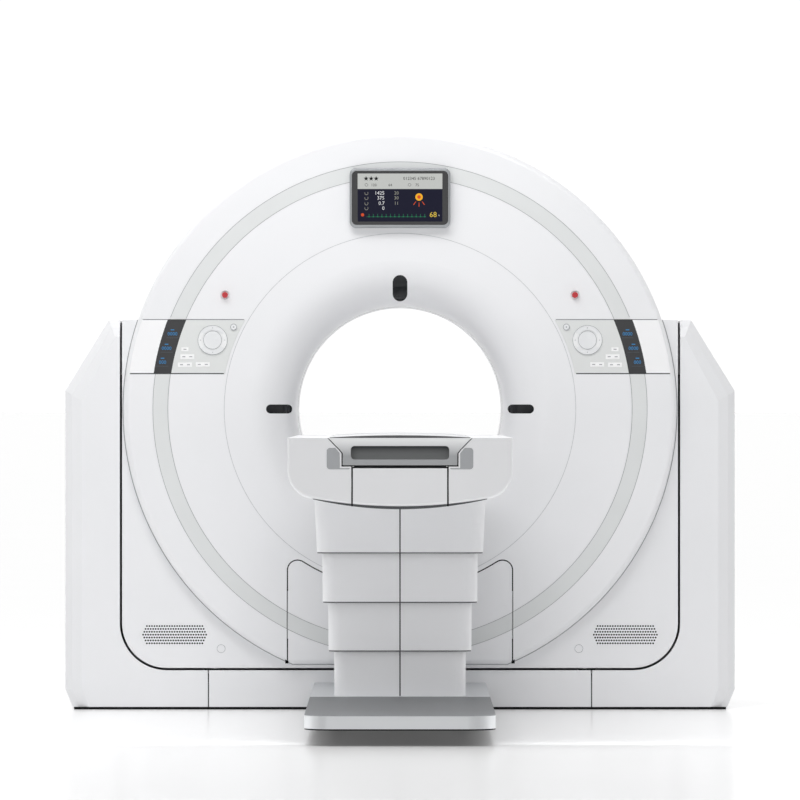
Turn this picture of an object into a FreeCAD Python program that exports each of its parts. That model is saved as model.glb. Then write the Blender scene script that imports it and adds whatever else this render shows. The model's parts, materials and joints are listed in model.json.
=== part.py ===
import FreeCAD, Part
import math
import os

os.makedirs("parts", exist_ok=True)
V = FreeCAD.Vector

# Frame: X to the right, Y away from the patient table, Z up.
# The origin is on the floor, straight under the centre of the bore.

# ---- gantry ----
bore_height = 1013.0        # bore centre above the floor
reach = 5000.0              # longer than the machine, for the boxes that cut it in halves
bore_r = 350.0
drum_r = 932.0
drum_half_depth = 475.0
drum_flat_z = 154.0         # the round drum is cut flat near the floor
drum_edge_round = 18.0
cover_wall = 6.0
cover_half_depth = 440.0    # panels and pedestals, front and rear
funnel_seam_r = 592.0
funnel_curve_r = 150.0      # quarter circle from the drum face into the bore
lap_width = 12.0            # lap of the funnel behind the drum face
seam = 2.0                  # open seam between two visible covers
joint_gap = 0.5             # between covers that butt against each other
stripe_inner_r = 781.0
stripe_outer_r = 833.0
inlay_depth = 3.0
panel_overlap = 32.0        # front panel behind the rim of the drum

# ---- seam between the tilting part and the pedestals ----
seam_x = 941.0
tilt_gap = 8.0
seam_bottom = 136.0
seam_corner_r = 155.0

# ---- pedestals ----
pedestal_half_width = 1130.0
pedestal_top = 1313.0
shoulder_x = 983.0
waist_z = 1075.0
ankle_z = 67.0
toe_x = 1104.0
cover_bottom = 5.0
bevel_insets = ((57.0, 0.0), (24.0, 12.0), (0.0, 36.0))   # inset from the side, step back from the front
skirt_split_x = 646.0
skirt_wall = 8.0
skirt_seam = 4.0
cover_split_y = 380.0
cover_seam = 0.8

# ---- steelwork ----
floor_plate = 20.0
floor_plate_half_x = 1040.0
beam_height = 90.0
beam_width = 52.0
fit = 0.3                   # running or assembly clearance
beam_face = cover_half_depth - cover_wall - 2 * fit
trunnion_r = 60.0
bearing_outer_r = 80.0
boss_r = 110.0
tower_x = 948.0
tower_wall = 30.0
stator_r = 810.0
stator_y = (60.0, 90.0)
bearing_mid_r = 640.0
bearing_width = 45.0
rotor_r = 760.0
rotor_bore_r = 385.0
rotor_wall = 30.0
slip_r = (470.0, 560.0)
belt_wall = 5.0
belt_width = 22.0
pulley_r = 60.0
pulley_angle = 39.0         # below the horizontal, to the right
pulley_distance = 890.0

# ---- focal spot and detector ----
focus_r = 570.0
detector_r = (1050.0, 1110.0)
fan_half_angle = 25.0
scanner_depth = 190.0

# ---- controls ----
panel_top = 1313.0
panel_bottom = 1134.0
panel_r = (601.0, 919.0)
panel_proud = 1.0
pad_at = (631.0, 1245.0)
pad_r = 50.0
knob_at = (560.0, 1289.0)
knob_r = 11.5
stop_at = (589.0, 1397.0)
stop_r = 10.0
display_half_width = 169.5
display_z = (1622.0, 1824.0)
display_depth = 28.0
window_r = (364.0, 451.0)
window_widths = (49.0, 30.0)    # top, sides

# ---- lower front ----
access_half_width = 379.0
access_top_r = 609.0
access_corner_r = 34.0
access_seam = 4.0
vent_at = (760.0, 252.0)
vent_size = (238.0, 76.0)
vent_rows = (23, 24, 25, 26, 25, 24, 23)
vent_pitch = (8.5, 9.7)
vent_hole_r = 3.1

# ---- table ----
table_near_y = -3075.0
table_far_y = -690.0
table_half_width = 338.0
table_top = 926.0
table_wall = 5.0
table_belly_r = 1500.0
table_corner_r = 85.0
table_edge_round = 10.0
channel_top_x = 219.0       # channel for the cradle, between the two side mouldings
channel_x = 176.0
channel_bend_z = 884.0
channel_bottom = 840.0
end_panel_half_width = 144.0
end_seam = 5.0
belly_z = 719.0
cap_length = 75.0
cradle_far_y = -600.0
mat_crown = 8.0
handle_half_width = 148.0
handle_z = (861.0, 902.0)
handle_depth = 40.0
rail_top = 822.0
bracket_foot = 800.0
pad_x = (147.0, 220.0)
pad_z = (832.0, 896.0)
pad_depth = 3.0
pad_corner_r = 10.0

# ---- column ----
column_front = -1620.0
column_rear = -870.0
column_z = (90.0, 237.0, 394.0, 553.0, 748.0)
column_low = (211.0, 230.0, 248.5, 267.0)     # half widths at the foot of each cover
column_high = (212.0, 231.0, 250.0, 276.0)
column_hidden = 20.0        # straight band inside the next cover
column_corner_r = 38.0
column_wall = 3.0
column_seam = 4.0
lip_height = 4.0
lip_gap = 0.4
lift_half = (150.0, 141.5, 133.0, 124.5)
lift_y = -1245.0
lift_wall = 8.0
lift_length = 192.0
lift_foot = (90.0, 243.0, 396.0, 549.0)

# ---- table base ----
base_half_width = 289.0
base_z = (47.0, 90.0)
base_corner_r = 85.0
foot_r = 32.0
foot_stem_r = 12.0
foot_disc = 12.0
foot_x = 200.0
foot_rows = (-1990.0, -1390.0, -790.0)    # under the column and the table's heavy half


def box(x0, x1, y0, y1, z0, z1):
    return Part.makeBox(x1 - x0, y1 - y0, z1 - z0, V(x0, y0, z0))


def cylinder_y(r, y0, y1, x=0.0, z=bore_height):
    return Part.makeCylinder(r, y1 - y0, V(x, y0, z), V(0, 1, 0))


def cylinder_x(r, x0, x1, y=0.0, z=bore_height):
    return Part.makeCylinder(r, x1 - x0, V(x0, y, z), V(1, 0, 0))


def cylinder_z(r, z0, z1, x, y):
    return Part.makeCylinder(r, z1 - z0, V(x, y, z0), V(0, 0, 1))


def ring(r_out, r_in, y0, y1):
    return cylinder_y(r_out, y0, y1).cut(cylinder_y(r_in, y0 - 1, y1 + 1))


def mirror_x(shape):
    return shape.mirror(V(0, 0, 0), V(1, 0, 0))


def mirror_y(shape):
    return shape.mirror(V(0, 0, 0), V(0, 1, 0))


def both_sides(shape):
    return Part.makeCompound([shape, mirror_x(shape)])


def save(name, shape):
    shape.exportStep("parts/" + name + ".step")


def prism(edges, y0, y1):
    """Extrude a closed outline, drawn in X and Z at Y zero, from y0 to y1."""
    face = Part.Face(Part.Wire(edges))
    face.translate(V(0, y0, 0))
    return face.extrude(V(0, y1 - y0, 0))


def polygon(points, y0, y1):
    corners = [V(x, 0, z) for x, z in points]
    return prism(Part.makePolygon(corners + corners[:1]).Edges, y0, y1)


def line(a, b):
    return Part.LineSegment(V(a[0], 0, a[1]), V(b[0], 0, b[1])).toShape()


def arc(a, m, b):
    return Part.Arc(V(a[0], 0, a[1]), V(m[0], 0, m[1]), V(b[0], 0, b[1])).toShape()


def rounded_box(x0, x1, y0, y1, z0, z1, r, axis):
    """A box whose four edges along one axis are rounded."""
    body = box(x0, x1, y0, y1, z0, z1)
    along = [e for e in body.Edges if abs(e.tangentAt(e.FirstParameter).dot(axis)) > 0.99]
    return body.makeFillet(r, along)


def u_prism(offset, y0, y1, top=pedestal_top, half_x=seam_x):
    """The U outline between the pedestals, set outwards by the offset."""
    half = half_x + offset
    low = seam_bottom - offset
    r = seam_corner_r + offset
    turn = r * (1.0 - math.sqrt(0.5))
    edges = [
        line((-half, top), (half, top)),
        line((half, top), (half, low + r)),
        arc((half, low + r), (half - turn, low + turn), (half - r, low)),
        line((half - r, low), (r - half, low)),
        arc((r - half, low), (turn - half, low + turn), (-half, low + r)),
        line((-half, low + r), (-half, top)),
    ]
    return prism(edges, y0, y1)


# ---------------------------------------------------------------- pedestals
def pedestal_hull(inset):
    """Right pedestal with its two bevelled facets, front and rear, set inwards by the inset."""
    def section(side, y):
        i = side + inset
        low = cover_bottom - 2 * inset
        points = [
            (600.0, pedestal_top - i),
            (shoulder_x - 0.4 * i, pedestal_top - i),
            (pedestal_half_width - i, waist_z - 0.6 * i),
            (pedestal_half_width - i, ankle_z),
            (toe_x - i, low),
            (600.0, low),
        ]
        corners = [V(x, y, z) for x, z in points]
        return Part.makePolygon(corners + corners[:1])
    front = [section(side, -(cover_half_depth - inset - back)) for side, back in bevel_insets]
    rear = [section(side, cover_half_depth - inset - back) for side, back in reversed(bevel_insets)]
    parts = []
    stack = front + rear
    for low, high in zip(stack[:-1], stack[1:]):
        parts.append(Part.makeLoft([low, high], True, True))
    hull = parts[0]
    for part in parts[1:]:
        hull = hull.fuse(part)
    return hull.removeSplitter()


def pedestal_covers():
    inner_x = seam_x + tilt_gap / 2
    hull = pedestal_hull(0.0)
    hollow = pedestal_hull(cover_wall)
    tall = box(inner_x, 1200, -600, 600, 0, 1400)
    room = hollow.common(box(inner_x + cover_wall, 1200, -600, 600, -100, 1400))
    shell = hull.common(tall).cut(room)
    front = shell.common(box(0, 1200, -600, -cover_split_y - cover_seam / 2, 0, 1400))
    rear = shell.common(box(0, 1200, cover_split_y + cover_seam / 2, 600, 0, 1400))
    beam_notch = box(inner_x - 1, inner_x + cover_wall + 1, -beam_face, beam_face, 0, beam_height + fit)
    front = front.cut(beam_notch)
    rear = rear.cut(beam_notch)
    middle = shell.common(box(inner_x + cover_wall, 1200, -cover_split_y + cover_seam / 2,
                              cover_split_y - cover_seam / 2, 0, 1400))
    foot = box(skirt_split_x + skirt_seam / 2, inner_x + 1, -cover_half_depth, -cover_half_depth + skirt_wall,
               cover_bottom, seam_bottom + seam_corner_r + tilt_gap)
    foot = foot.cut(u_prism(tilt_gap / 2, -600, 600))
    front = front.fuse(foot).removeSplitter()
    rear = rear.fuse(mirror_y(foot)).removeSplitter()
    save("pedestal_front_covers", both_sides(front))
    save("pedestal_rear_covers", both_sides(rear))
    save("pedestal_side_covers", both_sides(middle))
    half = skirt_split_x - skirt_seam / 2
    top = seam_bottom - tilt_gap / 2
    skirt = box(-half, half, -cover_half_depth, -cover_half_depth + skirt_wall, cover_bottom, top)
    save("base_skirts", Part.makeCompound([skirt, mirror_y(skirt)]))


def base_frame():
    beam_y = cover_half_depth - skirt_wall - fit
    plate = box(-floor_plate_half_x, floor_plate_half_x, -beam_y, beam_y, 0, floor_plate)
    beam = box(-floor_plate_half_x, floor_plate_half_x, -beam_y, -beam_y + beam_width,
               floor_plate - 1, beam_height)
    frame = plate.fuse(beam).fuse(mirror_y(beam))
    save("base_frame", frame.removeSplitter())


def pedestal_frames():
    tower = [(-300.0, floor_plate), (300.0, floor_plate), (170.0, 1130.0), (-170.0, 1130.0)]
    corners = [V(tower_x, y, z) for y, z in tower]
    plate = Part.Face(Part.makePolygon(corners + corners[:1])).extrude(V(tower_wall, 0, 0))
    flange = box(tower_x, tower_x + 125, -300, 300, floor_plate, floor_plate + 20)
    boss = cylinder_x(boss_r, tower_x, tower_x + 72)
    frame = plate.fuse(flange).fuse(boss)
    for y in (-240.0, 0.0, 215.0):
        web = [V(tower_x + 5, y, floor_plate + 10), V(tower_x + 120, y, floor_plate + 10),
               V(tower_x + 120, y, 100), V(tower_x + 30, y, 620), V(tower_x + 5, y, 620)]
        frame = frame.fuse(Part.Face(Part.makePolygon(web + web[:1])).extrude(V(0, 25, 0)))
    frame = frame.cut(cylinder_x(bearing_outer_r, tower_x + 12, 1200))
    frame = frame.cut(cylinder_x(trunnion_r + 12, 900, 1200)).removeSplitter()
    save("pedestal_frames", both_sides(frame))
    bearing = cylinder_x(bearing_outer_r, tower_x + 12, tower_x + 62)
    bearing = bearing.cut(cylinder_x(trunnion_r + fit, 900, 1200))
    save("trunnion_bearings", both_sides(bearing))
    x0 = tower_x + 72
    motor = box(x0 + 8, x0 + 58, -55, 55, bore_height - 260, bore_height - 60)
    gearbox = cylinder_x(boss_r - 8, x0, x0 + 62).fuse(motor)
    gearbox = gearbox.cut(cylinder_x(trunnion_r - 20 + fit, x0 - 1, x0 + 50)).removeSplitter()
    save("tilt_gearboxes", both_sides(gearbox))


# ---------------------------------------------------------------- tilting covers
def drum_solid(r, y0, y1, flat_z, edge):
    """Round drum, cut flat below, with its front edge rounded."""
    body = cylinder_y(r, y0, y1).cut(box(-drum_r, drum_r, -600, 600, -100, flat_z))
    front = [e for e in body.Edges if abs(e.BoundBox.YMin - y0) < 0.01 and abs(e.BoundBox.YMax - y0) < 0.01]
    return body.makeFillet(edge, front)


def access_zone(grow, y0, y1):
    """Lower access panel: straight sides, round shoulders and a top edge that follows the bore."""
    half = access_half_width + grow
    r = access_top_r - grow
    c = access_corner_r + grow
    shoulder_z = bore_height - math.sqrt((r + c) ** 2 - (half - c) ** 2)
    to_bore = ((c - half) / (r + c), (bore_height - shoulder_z) / (r + c))
    on_bore = (half - c + c * to_bore[0], shoulder_z + c * to_bore[1])
    half_way = math.atan2(to_bore[1], to_bore[0]) / 2
    middle = (half - c + c * math.cos(half_way), shoulder_z + c * math.sin(half_way))
    low = drum_flat_z - 60.0
    edges = [
        line((-half, low), (half, low)),
        line((half, low), (half, shoulder_z)),
        arc((half, shoulder_z), middle, on_bore),
        arc(on_bore, (0, bore_height - r), (-on_bore[0], on_bore[1])),
        arc((-on_bore[0], on_bore[1]), (-middle[0], middle[1]), (-half, shoulder_z)),
        line((-half, shoulder_z), (-half, low)),
    ]
    return prism(edges, y0, y1)


def panel_zone(grow, y0, y1):
    """Band between two circles around the bore and between two heights, on both sides."""
    band = ring(panel_r[1] + grow, panel_r[0] - grow, y0, y1)
    side = box(300.0, 1000.0, y0, y1, panel_bottom - grow, panel_top + grow)
    return band.common(side.fuse(mirror_x(side)))


def drum_shell():
    rear_y = -cover_half_depth
    outer = drum_solid(drum_r, -drum_half_depth, rear_y, drum_flat_z, drum_edge_round)
    inner = drum_solid(drum_r - cover_wall, -drum_half_depth + cover_wall, rear_y + 1,
                       drum_flat_z + cover_wall, drum_edge_round - cover_wall)
    shell = outer.cut(inner)
    return shell.cut(cylinder_y(funnel_seam_r + seam / 2, -600, 0))


def stripe_groove(grow):
    floor = -drum_half_depth + inlay_depth
    return ring(stripe_outer_r + grow, stripe_inner_r - grow, -drum_half_depth - 1, floor)


def front_drum():
    shell = drum_shell().cut(stripe_groove(fit))
    access_hole = access_zone(access_seam / 2, -600, -cover_half_depth + 1)
    access_body = access_zone(-access_seam / 2, -600, -cover_half_depth + 1)
    pocket = panel_zone(fit, -600, -drum_half_depth + inlay_depth)
    cover = shell.cut(access_hole).cut(pocket)
    cover = cover.cut(both_sides(cylinder_y(stop_r - 3 + fit, -600, -300, *stop_at)))
    cover = cover.cut(both_sides(cylinder_y(pad_r - 10, -600, -300, *pad_at)))
    cover = cover.cut(both_sides(cylinder_y(knob_r - 3, -600, -300, *knob_at)))
    tabs = access_zone(access_seam / 2 + 8, -drum_half_depth + cover_wall, -drum_half_depth + 2 * cover_wall)
    tabs = tabs.cut(access_zone(-access_seam / 2 - 8, -600, 0)).common(box(-500, 500, -600, 0, 240, 400))
    tabs = tabs.common(box(-500, -300, -600, 0, 0, 600).fuse(box(300, 500, -600, 0, 0, 600)))
    cover = cover.fuse(tabs).removeSplitter()
    save("front_drum_cover", cover)
    panel = shell.common(access_body)
    save("access_panel", panel)
    stripe = ring(stripe_outer_r, stripe_inner_r, -drum_half_depth, -drum_half_depth + inlay_depth)
    on_access = stripe.common(access_body)
    on_drum = stripe.cut(access_hole).cut(panel_zone(fit + 0.5, -600, -300))
    save("drum_stripes", Part.makeCompound(on_drum.Solids + on_access.Solids))


def funnel_profile(grow):
    """Half section of the funnel, drawn as radius and depth, then spun about the bore."""
    r_flat = bore_r + funnel_curve_r
    y_face = -drum_half_depth + grow
    y_throat = -drum_half_depth + funnel_curve_r + 25.0
    y_mid = -drum_half_depth + funnel_curve_r
    radius = funnel_curve_r - grow
    diag = radius * math.sqrt(0.5)
    return r_flat, y_face, y_throat, y_mid, radius, diag


def funnel():
    def at(r, y):
        return V(0, y, bore_height + r)
    r_flat, y_face, y_throat, y_mid, radius, diag = funnel_profile(0.0)
    r_in, y_in, y_end, y_m2, radius2, diag2 = funnel_profile(cover_wall)
    edge_r = funnel_seam_r - seam / 2
    lap_r = funnel_seam_r + lap_width
    lap_y = -drum_half_depth + cover_wall
    edges = [
        Part.LineSegment(at(edge_r, y_face), at(r_flat, y_face)).toShape(),
        Part.Arc(at(r_flat, y_face), at(r_flat - diag, y_mid - diag), at(bore_r, y_mid)).toShape(),
        Part.LineSegment(at(bore_r, y_mid), at(bore_r, y_throat)).toShape(),
        Part.LineSegment(at(bore_r, y_throat), at(bore_r + cover_wall, y_throat)).toShape(),
        Part.LineSegment(at(bore_r + cover_wall, y_throat), at(bore_r + cover_wall, y_m2)).toShape(),
        Part.Arc(at(bore_r + cover_wall, y_m2), at(r_in - diag2, y_m2 - diag2), at(r_in, y_in)).toShape(),
        Part.LineSegment(at(r_in, y_in), at(edge_r - 4, y_in)).toShape(),
        Part.LineSegment(at(edge_r - 4, y_in), at(edge_r - 4, lap_y + cover_wall)).toShape(),
        Part.LineSegment(at(edge_r - 4, lap_y + cover_wall), at(lap_r, lap_y + cover_wall)).toShape(),
        Part.LineSegment(at(lap_r, lap_y + cover_wall), at(lap_r, lap_y)).toShape(),
        Part.LineSegment(at(lap_r, lap_y), at(edge_r, lap_y)).toShape(),
        Part.LineSegment(at(edge_r, lap_y), at(edge_r, y_face)).toShape(),
    ]
    face = Part.Face(Part.Wire(edges))
    return face.revolve(V(0, 0, bore_height), V(0, 1, 0), 360)


def capsule(width, r0, r1, grow):
    """Slot with round ends, upright above the bore, cut along Y."""
    half = width / 2 + grow
    low = bore_height + r0 + width / 2
    high = bore_height + r1 - width / 2
    slot = box(-half, half, -600, -300, low, high)
    slot = slot.fuse(cylinder_y(half, -600, -300, 0, low))
    return slot.fuse(cylinder_y(half, -600, -300, 0, high)).removeSplitter()


def window_slots(grow):
    top = capsule(window_widths[0], window_r[0], window_r[1], grow)
    side = capsule(window_widths[1], window_r[0], window_r[1], grow)
    slots = [top]
    for angle in (90.0, -90.0):
        turned = side.copy()
        turned.rotate(V(0, 0, bore_height), V(0, 1, 0), angle)
        slots.append(turned)
    return slots


def funnels():
    plain = funnel()
    front = plain
    windows = []
    for hole, glass in zip(window_slots(fit), window_slots(0.0)):
        front = front.cut(hole)
        windows.append(plain.common(glass))
    save("front_funnel", front)
    save("laser_windows", Part.makeCompound([s for w in windows for s in w.Solids]))
    save("rear_funnel", mirror_y(plain))
    throat = drum_half_depth - funnel_curve_r - 25.0
    band = 45.0
    half = ring(bore_r + cover_wall, bore_r, -throat, -band)
    save("bore_tunnel", Part.makeCompound([half, mirror_y(half)]))
    save("scan_window", ring(bore_r + cover_wall - 2, bore_r, -band, band))


def vent_outline(grow):
    half_x = vent_size[0] / 2 + grow
    half_z = vent_size[1] / 2 + grow
    x, z = vent_at
    slope = 16.0
    return [(x - half_x, z), (x - half_x + slope, z + half_z), (x + half_x - slope, z + half_z),
            (x + half_x, z), (x + half_x - slope, z - half_z), (x - half_x + slope, z - half_z)]


def vent_grille():
    plate = polygon(vent_outline(0.0), -cover_half_depth, -cover_half_depth + 3)
    holes = []
    middle = (len(vent_rows) - 1) / 2
    for row, count in enumerate(vent_rows):
        z = vent_at[1] + (middle - row) * vent_pitch[1]
        for i in range(count):
            x = vent_at[0] + (i - (count - 1) / 2) * vent_pitch[0]
            holes.append(cylinder_y(vent_hole_r, -cover_half_depth - 1, -cover_half_depth + 4, x, z))
    return plate.cut(Part.makeCompound(holes))


def panels():
    y0 = -cover_half_depth
    outline = u_prism(-tilt_gap / 2, y0, y0 + cover_wall)
    hole_r = drum_r - panel_overlap
    hole_low = drum_flat_z + panel_overlap / 2
    hole = cylinder_y(hole_r, -600, 0).cut(box(-drum_r, drum_r, -600, 0, 0, hole_low))
    plain = outline.cut(hole)
    front = plain.cut(both_sides(polygon(vent_outline(fit), y0 - 1, y0 + 3)))
    front = front.cut(both_sides(polygon(vent_outline(-5), y0 - 1, y0 + 20)))
    save("front_panel", front)
    rear_panel = mirror_y(plain)
    save("rear_covers", Part.makeCompound([rear_panel, mirror_y(drum_shell())]))
    save("vent_grilles", both_sides(vent_grille()))
    depth = cover_half_depth - cover_wall
    hollow = u_prism(-tilt_gap / 2 - cover_wall, -600, 600, pedestal_top - cover_wall)
    trough = u_prism(-tilt_gap / 2, -depth, depth).cut(hollow)
    ledge = math.sqrt(drum_r ** 2 - (pedestal_top - bore_height) ** 2) - 12.0
    trough = trough.cut(box(-ledge, ledge, -600, 600, pedestal_top - cover_wall - 1, pedestal_top + 1))
    upper = box(-1000, 1000, -600, 600, 1200, 1400)
    trough = trough.cut(cylinder_y(drum_r + joint_gap, -600, 600).common(upper))
    trough = trough.cut(cylinder_x(trunnion_r + joint_gap, -1000, 1000))
    save("trough_cover", trough)
    top_depth = cover_half_depth - joint_gap / 2
    top = ring(drum_r, drum_r - cover_wall, -top_depth, top_depth)
    save("top_cover", top.common(box(-1000, 1000, -600, 600, pedestal_top, 2000)))


def display():
    x = display_half_width
    body = rounded_box(-x, x, -drum_half_depth - display_depth, -drum_half_depth,
                       display_z[0], display_z[1], 22.0, V(0, 1, 0))
    rim = [e for e in body.Edges if e.BoundBox.YMax < -drum_half_depth - display_depth + 0.01]
    body = body.makeFillet(6.0, rim)
    face = -drum_half_depth - display_depth
    glass = rounded_box(-x + 7, x - 7, face - 1, face + 2, display_z[0] + 10, display_z[1] - 10,
                        17.0, V(0, 1, 0))
    save("display_housing", body.cut(glass))


def controls():
    front = -drum_half_depth - panel_proud
    plates = panel_zone(0.0, front, -drum_half_depth + inlay_depth)
    plates = plates.cut(both_sides(cylinder_y(pad_r + fit, front - 1, -300, *pad_at)))
    plates = plates.cut(both_sides(cylinder_y(knob_r + fit, front - 1, -300, *knob_at)))
    save("control_panels", plates)
    groove = ring_at(pad_at, 34.0, 30.0, front - 4, front - 2)
    pad = cylinder_y(pad_r, front - 3, front + 1, *pad_at).cut(groove)
    pad = pad.fuse(cylinder_y(pad_r - 10 - fit, front + 1, front + 16, *pad_at))
    knob = cylinder_y(knob_r, front - 3, front + 1, *knob_at)
    knob = knob.fuse(cylinder_y(knob_r - 3 - fit, front + 1, front + 16, *knob_at))
    stop = cylinder_y(stop_r, -drum_half_depth - 14, -drum_half_depth - 6, *stop_at)
    stop = stop.fuse(cylinder_y(stop_r - 3, -drum_half_depth - 6, -drum_half_depth + 10, *stop_at))
    for side, shape in (("right", lambda s: s), ("left", mirror_x)):
        save(side + "_ring_pad", shape(pad.removeSplitter()))
        save(side + "_select_button", shape(knob.removeSplitter()))
        save(side + "_stop_button", shape(stop.removeSplitter()))


def ring_at(centre, r_out, r_in, y0, y1):
    return cylinder_y(r_out, y0, y1, *centre).cut(cylinder_y(r_in, y0 - 1, y1 + 1, *centre))


# ---------------------------------------------------------------- stator and rotor
def pulley_centre():
    angle = math.radians(pulley_angle)
    return pulley_distance * math.cos(angle), bore_height - pulley_distance * math.sin(angle)


def stator():
    y0, y1 = stator_y
    plate = ring(stator_r, bearing_mid_r + fit + bearing_width, y0, y1)
    inner_x = seam_x - tilt_gap / 2 - cover_wall - joint_gap
    arm = box(700, inner_x, -90, y1, bore_height - 90, bore_height + 90)
    shaft = cylinder_x(trunnion_r, inner_x - 10, tower_x + 72)
    nose = cylinder_x(trunnion_r - 20, tower_x + 60, tower_x + 110)
    arm = arm.cut(cylinder_y(rotor_r + 12, -200, y0))
    frame = plate
    for piece in (arm, shaft, nose):
        frame = frame.fuse(piece).fuse(mirror_x(piece))
    x, z = pulley_centre()
    mount = cylinder_y(75.0, y0, y1, x, z)
    rib = [(x - 40, z - 40), (x + 30, z + 60), (x - 70, z + 150), (x - 150, z + 60)]
    frame = frame.fuse(mount).fuse(polygon(rib, y0, y1)).cut(cylinder_y(20.0, -600, 600, x, z))
    frame = frame.cut(cylinder_y(bearing_mid_r + fit + bearing_width, -600, 600))
    save("tilt_frame", frame.removeSplitter())
    outer = ring(bearing_mid_r + fit + bearing_width, bearing_mid_r + fit, rotor_wall + 8, y1)
    save("bearing_outer_ring", outer)


def rotor():
    plate = ring(rotor_r, rotor_bore_r, 0, rotor_wall)
    save("rotor_plate", plate)
    inner = ring(bearing_mid_r, bearing_mid_r - bearing_width, rotor_wall, stator_y[1])
    save("bearing_inner_ring", inner)
    save("slip_ring", ring(slip_r[1], slip_r[0], rotor_wall, rotor_wall + 34))
    front = -scanner_depth
    z_tube = bore_height + focus_r
    tube = cylinder_y(105.0, front, 0, 0, z_tube).fuse(cylinder_y(70.0, front - 25, front, 0, z_tube))
    save("xray_tube", tube.removeSplitter())
    box_low = z_tube - 160
    collimator = box(-90, 90, front + 30, -30, box_low, z_tube - 105)
    save("collimator", collimator)
    fan = cylinder_y(detector_r[1], front, -20, 0, z_tube).cut(cylinder_y(detector_r[0], -600, 0, 0, z_tube))
    reach = 1400.0
    spread = reach * math.tan(math.radians(fan_half_angle))
    wedge = polygon([(0, z_tube), (spread, z_tube - reach), (-spread, z_tube - reach)], front, -20)
    feet = box(-60, 60, -20, 0, z_tube - detector_r[1] + 5, z_tube - detector_r[0] - 5)
    save("detector_array", fan.common(wedge).fuse(feet).removeSplitter())
    generator = rounded_box(-700, -470, front, 0, bore_height - 130, bore_height + 130, 12.0, V(0, 1, 0))
    save("generator_tank", generator)
    exchanger = rounded_box(470, 700, front, 0, bore_height - 130, bore_height + 130, 12.0, V(0, 1, 0))
    fins = []
    for level in range(10):
        z = bore_height - 120 + 24 * level
        fins.append(box(480, 690, front - 1, front + 60, z, z + 12))
    save("heat_exchanger", exchanger.cut(Part.makeCompound(fins)))


def drive():
    y0 = (rotor_wall - belt_width) / 2
    x, z = pulley_centre()
    hub = cylinder_y(pulley_r, y0 - 3, y0 + belt_width + 3, x, z)
    hub = hub.fuse(cylinder_y(15.0, y0, stator_y[1] + 40, x, z))
    save("drive_pulley", hub.removeSplitter())
    motor = cylinder_y(62.0, stator_y[1], stator_y[1] + 170, x, z).fuse(
        cylinder_y(19.0, stator_y[0] - 4, stator_y[1] + 1, x, z))
    motor = motor.cut(cylinder_y(15.0 + fit, 0, stator_y[1] + 45, x, z))
    save("drive_motor", motor.removeSplitter())

    def loop(extra):
        big = rotor_r + fit + extra
        small = pulley_r + fit + extra
        lean = math.acos((big - small) / pulley_distance)
        away = math.atan2(z - bore_height, x)

        def on(centre_x, centre_z, r, angle):
            return centre_x + r * math.cos(angle), centre_z + r * math.sin(angle)
        a, b = away + lean, away - lean
        far = away + math.pi
        edges = [
            arc(on(0, bore_height, big, a), on(0, bore_height, big, far), on(0, bore_height, big, b)),
            line(on(0, bore_height, big, b), on(x, z, small, b)),
            arc(on(x, z, small, b), on(x, z, small, away), on(x, z, small, a)),
            line(on(x, z, small, a), on(0, bore_height, big, a)),
        ]
        return prism(edges, y0, y0 + belt_width)
    save("drive_belt", loop(belt_wall).cut(loop(0.0)))


# ---------------------------------------------------------------- table
def table_outline(grow):
    """Outer section of the table: straight sides and a round belly."""
    w = table_half_width + grow
    low = belly_z - grow
    top = table_top + min(grow, 0.0)
    big = table_belly_r + grow
    small = table_corner_r + grow
    turn_x = w - small
    belly_centre = low + big
    turn_z = belly_centre - math.sqrt((big - small) ** 2 - turn_x ** 2)
    lean = turn_x / (big - small)
    knee = (lean * big, belly_centre - big * math.sqrt(1.0 - lean ** 2))
    half_turn = (math.pi / 2 - math.asin(lean)) / 2
    middle = (turn_x + small * math.cos(half_turn), turn_z - small * math.sin(half_turn))
    edges = [
        line((-w, top), (w, top)),
        line((w, top), (w, turn_z)),
        arc((w, turn_z), middle, knee),
        arc(knee, (0, low), (-knee[0], knee[1])),
        arc((-knee[0], knee[1]), (-middle[0], middle[1]), (-w, turn_z)),
        line((-w, turn_z), (-w, top)),
    ]
    return edges


def table_wall_x(z):
    """Inner half width of the side mouldings at one height of their lower corner."""
    small = table_corner_r - table_wall
    turn_x = table_half_width - table_corner_r
    belly_centre = belly_z + table_belly_r
    turn_z = belly_centre - math.sqrt((table_belly_r - table_corner_r) ** 2 - turn_x ** 2)
    return turn_x + math.sqrt(small ** 2 - max(turn_z - z, 0.0) ** 2)


def channel(grow, y0, y1):
    """The cradle's trough: wide at the top, upright below its bend."""
    x0 = channel_top_x - grow
    x1 = channel_x - grow
    right = [(x1, channel_bottom + grow), (x1, channel_bend_z - 4), (x1 + 8, channel_bend_z + 6),
             (x0, table_top), (x0, table_top + 60)]
    left = [(-x, z) for x, z in reversed(right)]
    return polygon(left + right, y0, y1)


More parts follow.
